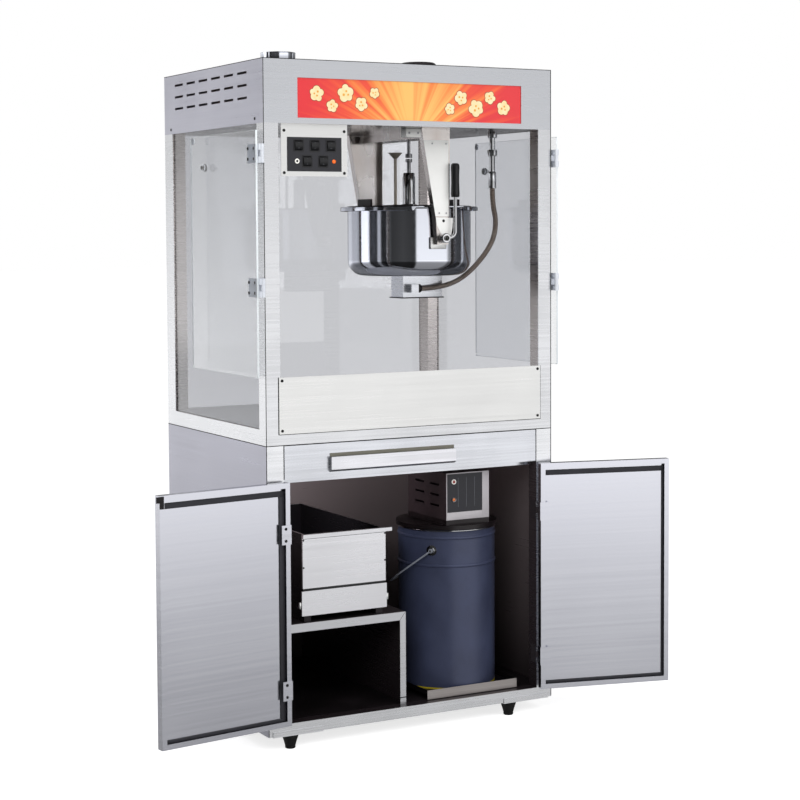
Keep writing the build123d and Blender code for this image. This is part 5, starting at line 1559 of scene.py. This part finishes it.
@dataclass
class Base:
    """Cupboard base: sheets, drawer, shelf, bin, doors with painted shadow round their liners, runners
    and feet.

    A flat face is its left, right, low, high and back; a door's shadow bands are its widths at the hinge
    and at the free edge.
    """

    door: Rectangle = (-395.5, -2.0, 62.0, 715.0)
    rim: float = 14.0
    top_rim: float = 21.0
    rim_lap: float = 1.0
    liner_y: float = 11.0
    axis: Pair = (-398.2, -5.0)
    swings: Pair = (-172.0, 166.0)
    shadow_deep: float = 3.0
    shadow_top: float = 15.0
    shadow_foot: float = 9.0
    shadow_bands: Pairs = ((16.0, 3.0), (3.0, 6.0))
    rail_face: Face = (-400.0, 400.0, 706.3, 715.7, 25.95)
    slot_shade_strip: Face = (-262.0, 125.0, 773.4, 782.4, -0.02)
    pull_lip: Face = (-262.8, 125.8, 738.4, 772.8, -12.02)
    leaf_screw: Pair = (-380.5, 24.6)
    leaf_levels: Pair = (577.0, 158.0)
    leaf_rises: Pair = (-16.0, 16.0)
    mitre: Profile = ((-14.6, 319.3), (-15.6, 319.4), (-33.0, 297.0), (-32.2, 296.6))
    mitre_deep: float = 0.3
    shelf_front: float = 30.05
    leg_joint: Box = ((-32.4, 29.7, 76.4), (-14.6, 30.05, 79.4))
    bin_joint: Box = ((-329.0, 34.3, 406.2), (-75.5, 35.0, 412.2))
    lip_shadow_line: Box = ((-328.0, 33.7, 547.6), (-77.0, 34.05, 548.8))
    bin_front: float = 34.0
    rivet_columns: Pair = (-327.0, -77.0)
    rivet_levels: Pair = (545.0, 470.0)
    clip_columns: Pair = (-339.0, -71.6)
    clip_lo: Point = (0.0, 36.0, 358.0)
    clip_hi: Point = (6.0, 44.0, 376.0)
    feet: Pairs = ((-377.0, 22.0), (317.0, 22.0), (-377.0, 678.0), (317.0, 678.0))
    foot_low: float = -13.0
    foot: Profile = (
        (1.0, 0.0), (12.5, 0.0), (14.0, 1.4), (14.4, 6.0), (13.4, 7.4), (14.6, 8.8), (17.6, 20.0),
        (21.0, 30.0), (22.0, 33.0), (22.0, 39.0), (1.0, 39.0),
    )

    def build(self) -> None:
        """Finishes on the solids, then the painted shadow round the door liners and the feet."""
        dress(CUPBOARD, "base_panels")
        dress(BASE_FRAME, "base_frame")
        dress(SATIN, "kernel_drawer")
        # The cupboard's floor is painted dark as painted shade.
        dress(DARK_COAT, "base_floor", "slide_runners")
        dress(HOOK_STEEL, "left_base_fittings")
        dress(SHELF_STEEL, "bin_shelf")
        dress(BIN_STEEL, "corn_bin")
        dress(LINER, "left_base_door", "right_base_door", "right_base_fittings")
        dress(BLACK_ABS, "power_inlet")
        self.door_shadows()
        self.stand()
        self.bin_trim()
        self.rails()
        self.leaf_screws()
        self.shelf_joints()

    def door_shadows(self) -> None:
        """A dark band of painted shadow round each door's liner, just inside the folded rim where its
        shade falls; widest along the top.
        """
        left, right, low, high = self.door
        inset = self.rim - self.rim_lap
        x0, x1, z0, z1 = left + inset, right - inset, low + inset, high - self.top_rim
        front, back = self.liner_y, self.liner_y + self.shadow_deep
        for side, swing, (hinge, free) in zip(Side, self.swings, self.shadow_bands):
            opening = (x0 + hinge, x1 - free, z0 + self.shadow_foot, z1 - self.shadow_top)
            strips = border((x0, x1, z0, z1), opening, front, back, 0.6)
            x, y = self.axis
            if side is Side.RIGHT:
                strips, x = [strip.mirrored() for strip in strips], -x
            parts = [(strip.swung((x, y), swing), SHADE_AND_JOINT_GREY) for strip in strips]
            make_piece(f"{side.value}_door_shadow", parts, f"{side.value}_base")

    def stand(self) -> None:
        """Tapered rubber feet with a collar and a tread groove."""
        foot = turned(self.foot, 40)
        parts = [(foot.placed((x, y, self.foot_low), Along.UP), RUBBER_AND_SHADE_BLACK) for x, y in self.feet]
        make_piece("rubber_feet", parts, "cabinet", ["levelling_feet"])

    def bin_trim(self) -> None:
        """Rivets and a dark joint in the bin's front, light clips beside its lower half, and a thin grey
        line of painted shadow under its top lip.
        """
        parts = [(bar(*self.bin_joint, 0.2), BLACK_ABS)]
        for x in self.rivet_columns:
            for z in self.rivet_levels:
                parts.append((pan_head((x, self.bin_front, z), Along.FRONT, 2.6, 1.0), BLACK_ABS))
        for x in self.clip_columns:
            aside = np.array((x, 0.0, 0.0))
            parts.append((bar(aside + self.clip_lo, aside + self.clip_hi, 1.0), BRIGHT))
        parts.append((bar(*self.lip_shadow_line, 0.1), GREY_INK_AND_SHADE))
        make_piece("bin_trim", parts, "bin")

    def rails(self) -> None:
        """Bright faces of the rail under the drawer and of the pull's lip; a dull strip of painted shade
        in its slot.
        """
        face = flat_face(*self.rail_face)
        make_piece("drawer_rail_face", [(face, SATIN)], "cabinet")
        parts = [(flat_face(*self.slot_shade_strip), SLOT_SHADE_GREY), (flat_face(*self.pull_lip), PULL_STEEL)]
        make_piece("pull_faces", parts, "drawer")

    def leaf_screws(self) -> None:
        """Two screws in each leaf on the left base door, laid out shut and then swung with the door."""
        heads = [
            pan_head((*self.leaf_screw, z + rise), Along.REAR, 4.0, 1.6).swung(self.axis, self.swings[0])
            for z in self.leaf_levels
            for rise in self.leaf_rises
        ]
        make_piece("left_leaf_screws", [(h, BLACK_ABS) for h in heads], "left_base")

    def shelf_joints(self) -> None:
        """Mitred corner of the shelf's lip and the joint near its leg's foot, as thin dark lines."""
        mitre = prism(self.mitre, self.mitre_deep).placed((0.0, self.shelf_front, 0.0), Along.FRONT)
        parts = [(mitre, SHADE_AND_JOINT_GREY), (bar(*self.leg_joint, 0.1), SHADE_AND_JOINT_GREY)]
        make_piece("shelf_joints", parts, "cabinet")


@dataclass
class OilPail:
    """Oil pail on its tray with its bail, and the pump that sits on it."""

    centre: Pair = (202.0, 176.0)
    radius: float = 140.0
    foot: float = 75.0
    top: float = 533.0
    bead_drops: Pair = (104.5, 24.5)
    foot_ring: Profile = ((-3.2, 0.0), (0.4, 0.0), (0.6, 2.0), (0.3, 4.0), (-3.2, 4.0))
    ear: Profile = (
        (1.0, 0.0), (15.0, 0.0), (15.0, 1.4), (9.0, 3.0), (8.6, 6.5), (7.0, 7.0), (3.0, 7.0),
        (3.0, 14.6), (2.4, 15.0), (0.5, 15.0),
    )
    bail_z: float = 473.0
    bail_turn: float = 42.5
    bail_half: float = 149.5
    bail_reach: float = 185.0
    bail_bend: float = 110.0
    bail_wire: float = 2.5
    bail_eye: Profile = ((3.15, -2.0), (6.0, -2.0), (6.4, 0.0), (6.0, 2.0), (3.15, 2.0))
    droop: float = 36.0
    pump: Rectangle = (130.5, 271.5, 560.0, 694.0)
    pump_front: float = 51.2
    pump_back: float = 52.0
    pump_screws: Pairs = ((260.0, 572.0), (260.0, 682.0))
    panel: Rectangle = (133.5, 248.5, 582.0, 691.0)
    panel_front: float = 50.5
    dividers: Triple = (169.0, 196.0, 223.0)
    divider_half: float = 0.4
    divider_deep: float = 0.15
    divider_ends: Pair = (596.0, 680.0)
    lamps: Pairs = ((154.5, 669.0), (154.5, 618.0))
    lamp_ring: Profile = ((5.0, 0.0), (7.0, 0.0), (7.0, 1.6), (6.2, 2.4), (5.0, 2.0))
    lamp_dome: float = 5.0

    def build(self) -> None:
        """Pail, bail, tray and pump."""
        self.pail()
        self.bail()
        dress(TRAY_STEEL, "pail_tray")
        dress(PUMP_COAT, "pump_housing")
        dress(OVERLAY, "pump_face")
        self.bezel()
        self.pump_lamps()

    def pail(self) -> None:
        """Painted pail with rolled beads, a rolled lip, a yellow foot ring and two ears."""
        r, low, top = self.radius, self.foot, self.top
        beads = [arc((r - 2.0, top - drop), 5.0, -66, 66, 9) for drop in self.bead_drops]
        profile = np.concatenate(
            [
                [(1.0, low + 3.0), (r - 3.0, low + 3.0), (r - 3.0, low + 4.0), (r, low + 4.6)],
                *beads,
                [(r, top - 6.0)],
                arc((r + 0.5, top - 2.6), 2.5, -90, 120, 9),
                [(r - 1.5, top - 2.0), (r - 1.5, low + 5.0), (1.0, low + 5.0)],
            ]
        )
        ring = turned(np.array(self.foot_ring) + (r, low), 96, wrapped=True)
        edge = turned(arc((r + 1.6, top - 3.4), 2.2, 0, 360, 13)[:-1], 96, wrapped=True)
        turns = ((turned(profile, 112), PAIL_PAINT), (ring, YELLOW_PAINT), (edge, CHROME))
        parts = [(skin.placed((*self.centre, 0.0), Along.UP), finish) for skin, finish in turns]
        ear = turned(self.ear, 32).placed((r - 1.0, 0.0, self.bail_z), Along.RIGHT)
        for turn in (self.bail_turn, self.bail_turn + 180):
            out = ear.swung((0.0, 0.0), turn)
            parts.append((out.moved(np.eye(3), (*self.centre, 0.0)), CHROME))
        make_piece("paint_pail", parts, "pail", ["oil_pail"])

    def bail(self) -> None:
        """Bent wire handle: two straight legs, two quarter bends and a cross run, with round eyes."""
        half, bend = self.bail_half, self.bail_bend
        rise = self.bail_reach - bend
        leg = np.column_stack([np.full(5, -half), np.linspace(5.0, rise, 6)[:-1]])
        first = np.concatenate([leg, arc((-half + bend, rise), bend, 180, 90, 12)])
        flat = np.concatenate([first, first[::-1] * (-1, 1)])
        path = np.column_stack([flat, np.zeros(len(flat))])
        eye = turned(self.bail_eye, 28, wrapped=True)
        skins = [tube(path, np.full(len(path), self.bail_wire), (0.0, 0.0, 1.0), sides=12)]
        skins += [eye.placed((x, 0.0, 0.0), Along.RIGHT) for x in (-half, half)]
        tip = math.radians(-self.droop)
        cosine, sine = math.cos(tip), math.sin(tip)
        lean = np.array([[1, 0, 0], [0, cosine, -sine], [0, sine, cosine]])
        turn = upright_turn(self.bail_turn) @ lean
        parts = [(skin.moved(turn, (*self.centre, self.bail_z)), WIRE) for skin in skins]
        make_piece("wire_bail", parts, "bail", ["pail_bail"])

    def bezel(self) -> None:
        """Pale front plate of the pump, left open where the black panel sits."""
        left, right, low, high = self.pump
        in_left, in_right, in_low, in_high = self.panel
        front, back = self.pump_front, self.pump_back
        skins = [
            bar((left, front, low), (in_left, back, high), 0.3),
            bar((in_right, front, low), (right, back, high), 0.3),
            bar((in_left, front, low), (in_right, back, in_low), 0.3),
            bar((in_left, front, in_high), (in_right, back, high), 0.3),
        ]
        skins += [pan_head((x, front, z), Along.FRONT, 2.4, 0.9) for x, z in self.pump_screws]
        make_piece("pump_bezel", [(s, PUMP_GREY) for s in skins], "pail")

    def pump_lamps(self) -> None:
        """A pale ringed lamp over a smoked amber dome, and plain divider lines across the panel."""
        front = self.panel_front
        ring = turned(self.lamp_ring, 36, wrapped=True)
        curve = arc((0.0, 0.6), self.lamp_dome, 0, 86, 7) * (1.0, 0.36)
        dome = turned(np.concatenate([[(self.lamp_dome, 0.0)], curve]), 32)
        parts = []
        looks = ((WHITE_LENS, RED_LENS), (ZINC, SMOKED))
        for (x, z), (rim, lens) in zip(self.lamps, looks):
            parts.append((ring.placed((x, front, z), Along.FRONT), rim))
            parts.append((dome.placed((x, front, z), Along.FRONT), lens))
        half, (low, high) = self.divider_half, self.divider_ends
        for x in self.dividers:
            line = bar((x - half, front - self.divider_deep, low), (x + half, front, high), 0.05)
            parts.append((line, GREY_INK_AND_SHADE))
        make_piece("pump_lenses", parts, "pail", ["pump_lamps"])


@dataclass
class Studio:
    """Camera, pale floor, soft lamps and the white room that metal and glass mirror.

    A band is a compass bearing in degrees and a level; a rise is the height of a direction, from
    minus one to one, and a level; a lamp is its name, place, aim, side and power.
    """

    eye: Point = (-2462.4, -4420.0, 1379.6)
    heading: float = 28.681
    pitch: float = -3.267
    roll: float = 0.299
    focal_px: float = 1838.0
    picture_px: float = 800.0
    drop: float = 0.08
    far: float = 200.0
    floor_half: float = 60.0
    floor_colour: str = "#d8d8d8"
    paper: float = 0.76
    ambient: float = 0.42
    bands: Pairs = (
        (-180.0, 1.1), (-168.0, 1.1), (-162.0, 0.9), (-142.0, 0.84), (-134.0, 0.3), (-131.0, 2.2),
        (-111.0, 2.4), (-107.0, 0.05), (-91.0, 0.07), (-89.0, 0.9), (-84.0, 0.9), (-82.0, 0.03),
        (-66.0, 0.03), (-64.0, 0.1), (-62.0, 0.04), (-40.0, 0.06), (-17.5, 0.04), (-14.5, 1.05),
        (44.0, 1.05), (50.0, 0.3), (70.0, 0.12), (84.0, 0.08), (86.5, 1.0), (90.0, 1.0),
        (93.0, 0.2), (120.0, 0.3), (146.0, 0.2), (160.0, 0.4), (180.0, 1.2),
    )
    rises: Pairs = (
        (-1.0, 0.25), (-0.34, 0.3), (-0.26, 0.38), (-0.2, 0.55), (-0.16, 0.9), (-0.13, 1.36),
        (-0.1, 1.45), (-0.05, 1.28), (0.0, 1.05), (0.08, 0.68), (0.3, 0.8), (1.0, 1.0),
    )
    lamps: tuple = (
        ("key", (-2600.0, -3000.0, 3000.0), (0.0, 300.0, 900.0), 2400.0, 90.0),
        ("fill", (2600.0, -3200.0, 2200.0), (0.0, 300.0, 900.0), 2400.0, 55.0),
        ("top", (0.0, -600.0, 4200.0), (0.0, 300.0, 900.0), 3000.0, 60.0),
        ("bounce", (-330.0, 120.0, 700.0), (-330.0, 699.0, 640.0), 120.0, 5.5),
    )

    def build(self) -> None:
        """Camera, floor, room and lamps."""
        self.camera()
        self.floor()
        self.room()
        for name, place, aim, size, power in self.lamps:
            self.lamp(name, place, aim, size, power)
        bpy.context.scene.view_settings.view_transform = "Standard"

    def camera(self) -> None:
        """Camera at the measured place, heading, pitch and roll."""
        heading, pitch, roll = (math.radians(v) for v in (self.heading, self.pitch, self.roll))
        level = math.cos(pitch)
        ahead = Vector((math.sin(heading) * level, math.cos(heading) * level, math.sin(pitch)))
        right = Vector((math.cos(heading), -math.sin(heading), 0.0))
        above = right.cross(ahead)
        side = right * math.cos(roll) - above * math.sin(roll)
        crown = right * math.sin(roll) + above * math.cos(roll)
        data = bpy.data.cameras.new("camera")
        data.sensor_width = 36.0
        data.lens = self.focal_px / self.picture_px * data.sensor_width
        data.shift_y = -self.drop
        data.clip_end = self.far
        made = bpy.data.objects.new("camera", data)
        turn = Matrix((side, crown, -ahead)).transposed().to_4x4()
        made.matrix_world = Matrix.Translation(at(self.eye)) @ turn
        bpy.context.scene.collection.objects.link(made)
        bpy.context.scene.camera = made

    def floor(self) -> None:
        """Pale floor that stays white to the eye, to metal and to glass, and keeps the shadow."""
        reach = self.floor_half
        corners = [(-reach, -reach, 0), (reach, -reach, 0), (reach, reach, 0), (-reach, reach, 0)]
        mesh = bpy.data.meshes.new("floor")
        mesh.from_pydata(corners, [], [(0, 1, 2, 3)])
        made = bpy.data.objects.new("floor", mesh)
        # Seamless paper: matt, without a highlight.
        paper = bpy.data.materials.new("studio paper")
        paper.use_nodes = True
        tree = paper.node_tree
        shader = tree.nodes["Principled BSDF"]
        shader.inputs["Base Color"].default_value = linear(self.floor_colour)
        shader.inputs["Roughness"].default_value = 0.9
        shader.inputs["Specular IOR Level"].default_value = 0.0
        shader.inputs["Emission Color"].default_value = WHITE
        path = add_node(tree, "LightPath").outputs
        eyes = {0: path["Is Camera Ray"], 1: path["Is Transmission Ray"]}
        seen = add_node(tree, "Math", {"operation": "MAXIMUM"}, eyes).outputs[0]
        glow = add_node(tree, "Math", {"operation": "MULTIPLY", 1: self.paper}, {0: seen})
        tree.links.new(glow.outputs[0], shader.inputs["Emission Strength"])
        mesh.materials.append(paper)
        made.visible_glossy = False
        made.visible_transmission = False
        bpy.context.scene.collection.objects.link(made)

    def mirrored_room(self, tree: Tree) -> Socket:
        """What metal mirrors: strips by compass bearing, times a level that changes with height.

        The bands are bright and dark strips of the room, counted from straight in front of the
        machine, as tall soft boxes and dark flags give.

        Args:
            tree: the world's nodes.

        Returns:
            Socket of the grey level.
        """
        way = add_node(tree, "TexCoord").outputs["Generated"]
        parts = add_node(tree, "SeparateXYZ", None, {0: way}).outputs
        turn_round = {"operation": "MULTIPLY", 1: -1.0}
        back = add_node(tree, "Math", turn_round, {0: parts[1]}).outputs[0]
        across = {0: parts[0], 1: back}
        bearing = add_node(tree, "Math", {"operation": "ARCTAN2"}, across).outputs[0]
        circle = {"From Min": -math.pi, "From Max": math.pi}
        turn = add_node(tree, "MapRange", circle, {"Value": bearing}).outputs["Result"]
        upright = {"From Min": -1.0, "From Max": 1.0}
        height = add_node(tree, "MapRange", upright, {"Value": parts[2]}).outputs["Result"]
        around = [((degrees + 180.0) / 360.0, (v, v, v, 1.0)) for degrees, v in self.bands]
        upward = [((rise + 1.0) / 2.0, (v, v, v, 1.0)) for rise, v in self.rises]
        strips = add_node(tree, "ValToRGB", None, {0: turn}, around).outputs[0]
        shade = add_node(tree, "ValToRGB", None, {0: height}, upward).outputs[0]
        product = {"data_type": "RGBA", "blend_type": "MULTIPLY", 0: 1.0}
        return add_node(tree, "Mix", product, {6: strips, 7: shade}).outputs[2]

    def room(self) -> None:
        """World: even light for matt surfaces, white to the eye and to glass, banded for metal."""
        world = bpy.data.worlds.new("studio")
        bpy.context.scene.world = world
        world.use_nodes = True
        tree = world.node_tree
        path = add_node(tree, "LightPath").outputs
        depths = {0: path["Glossy Depth"], 1: path["Diffuse Depth"]}
        bounced = add_node(tree, "Math", {"operation": "ADD"}, depths).outputs[0]
        before_one = {"operation": "LESS_THAN", 1: 0.5}
        straight = add_node(tree, "Math", before_one, {0: bounced}).outputs[0]
        both = {0: straight, 1: path["Is Transmission Ray"]}
        through = add_node(tree, "Math", {"operation": "MULTIPLY"}, both).outputs[0]
        either = {0: path["Is Glossy Ray"], 1: path["Is Transmission Ray"]}
        mirrored = add_node(tree, "Math", {"operation": "MAXIMUM"}, either).outputs[0]
        soft = {"data_type": "RGBA", 6: (self.ambient, self.ambient, self.ambient, 1.0)}
        looks = {0: mirrored, 7: self.mirrored_room(tree)}
        metal = add_node(tree, "Mix", soft, looks).outputs[2]
        eyes = {0: path["Is Camera Ray"], 1: through}
        seen = add_node(tree, "Math", {"operation": "MAXIMUM"}, eyes).outputs[0]
        white = add_node(tree, "Mix", {"data_type": "RGBA", 7: WHITE}, {0: seen, 6: metal})
        tree.links.new(white.outputs[2], tree.nodes["Background"].inputs["Color"])
        world.cycles.sampling_method = "NONE"

    def lamp(self, name: str, place: Point, aim: Point, size: float, power: float) -> None:
        """A square soft lamp, unseen by the eye and by metal.

        Args:
            name: name of the lamp.
            place: its middle in millimetres.
            aim: where it points, in millimetres.
            size: its side in millimetres.
            power: its power in watts.
        """
        data = bpy.data.lights.new(name, "AREA")
        data.size = size / 1000.0
        data.energy = power
        made = bpy.data.objects.new(name, data)
        here = Vector(at(place))
        turn = (Vector(at(aim)) - here).to_track_quat("-Z", "Y")
        made.matrix_world = Matrix.Translation(here) @ turn.to_matrix().to_4x4()
        made.visible_camera = False
        made.visible_glossy = False
        bpy.context.scene.collection.objects.link(made)


def main() -> None:
    """Builds the studio and each sub-assembly in order."""
    logging.basicConfig(level=logging.INFO, format="%(message)s")
    for part in (
        Studio(),
        Conduit(),
        Cabinet(),
        Header(),
        Controls(),
        WindowDoors(),
        Ceiling(),
        Kettle(),
        Base(),
        OilPail(),
    ):
        part.build()


if __name__ == "__main__":
    main()
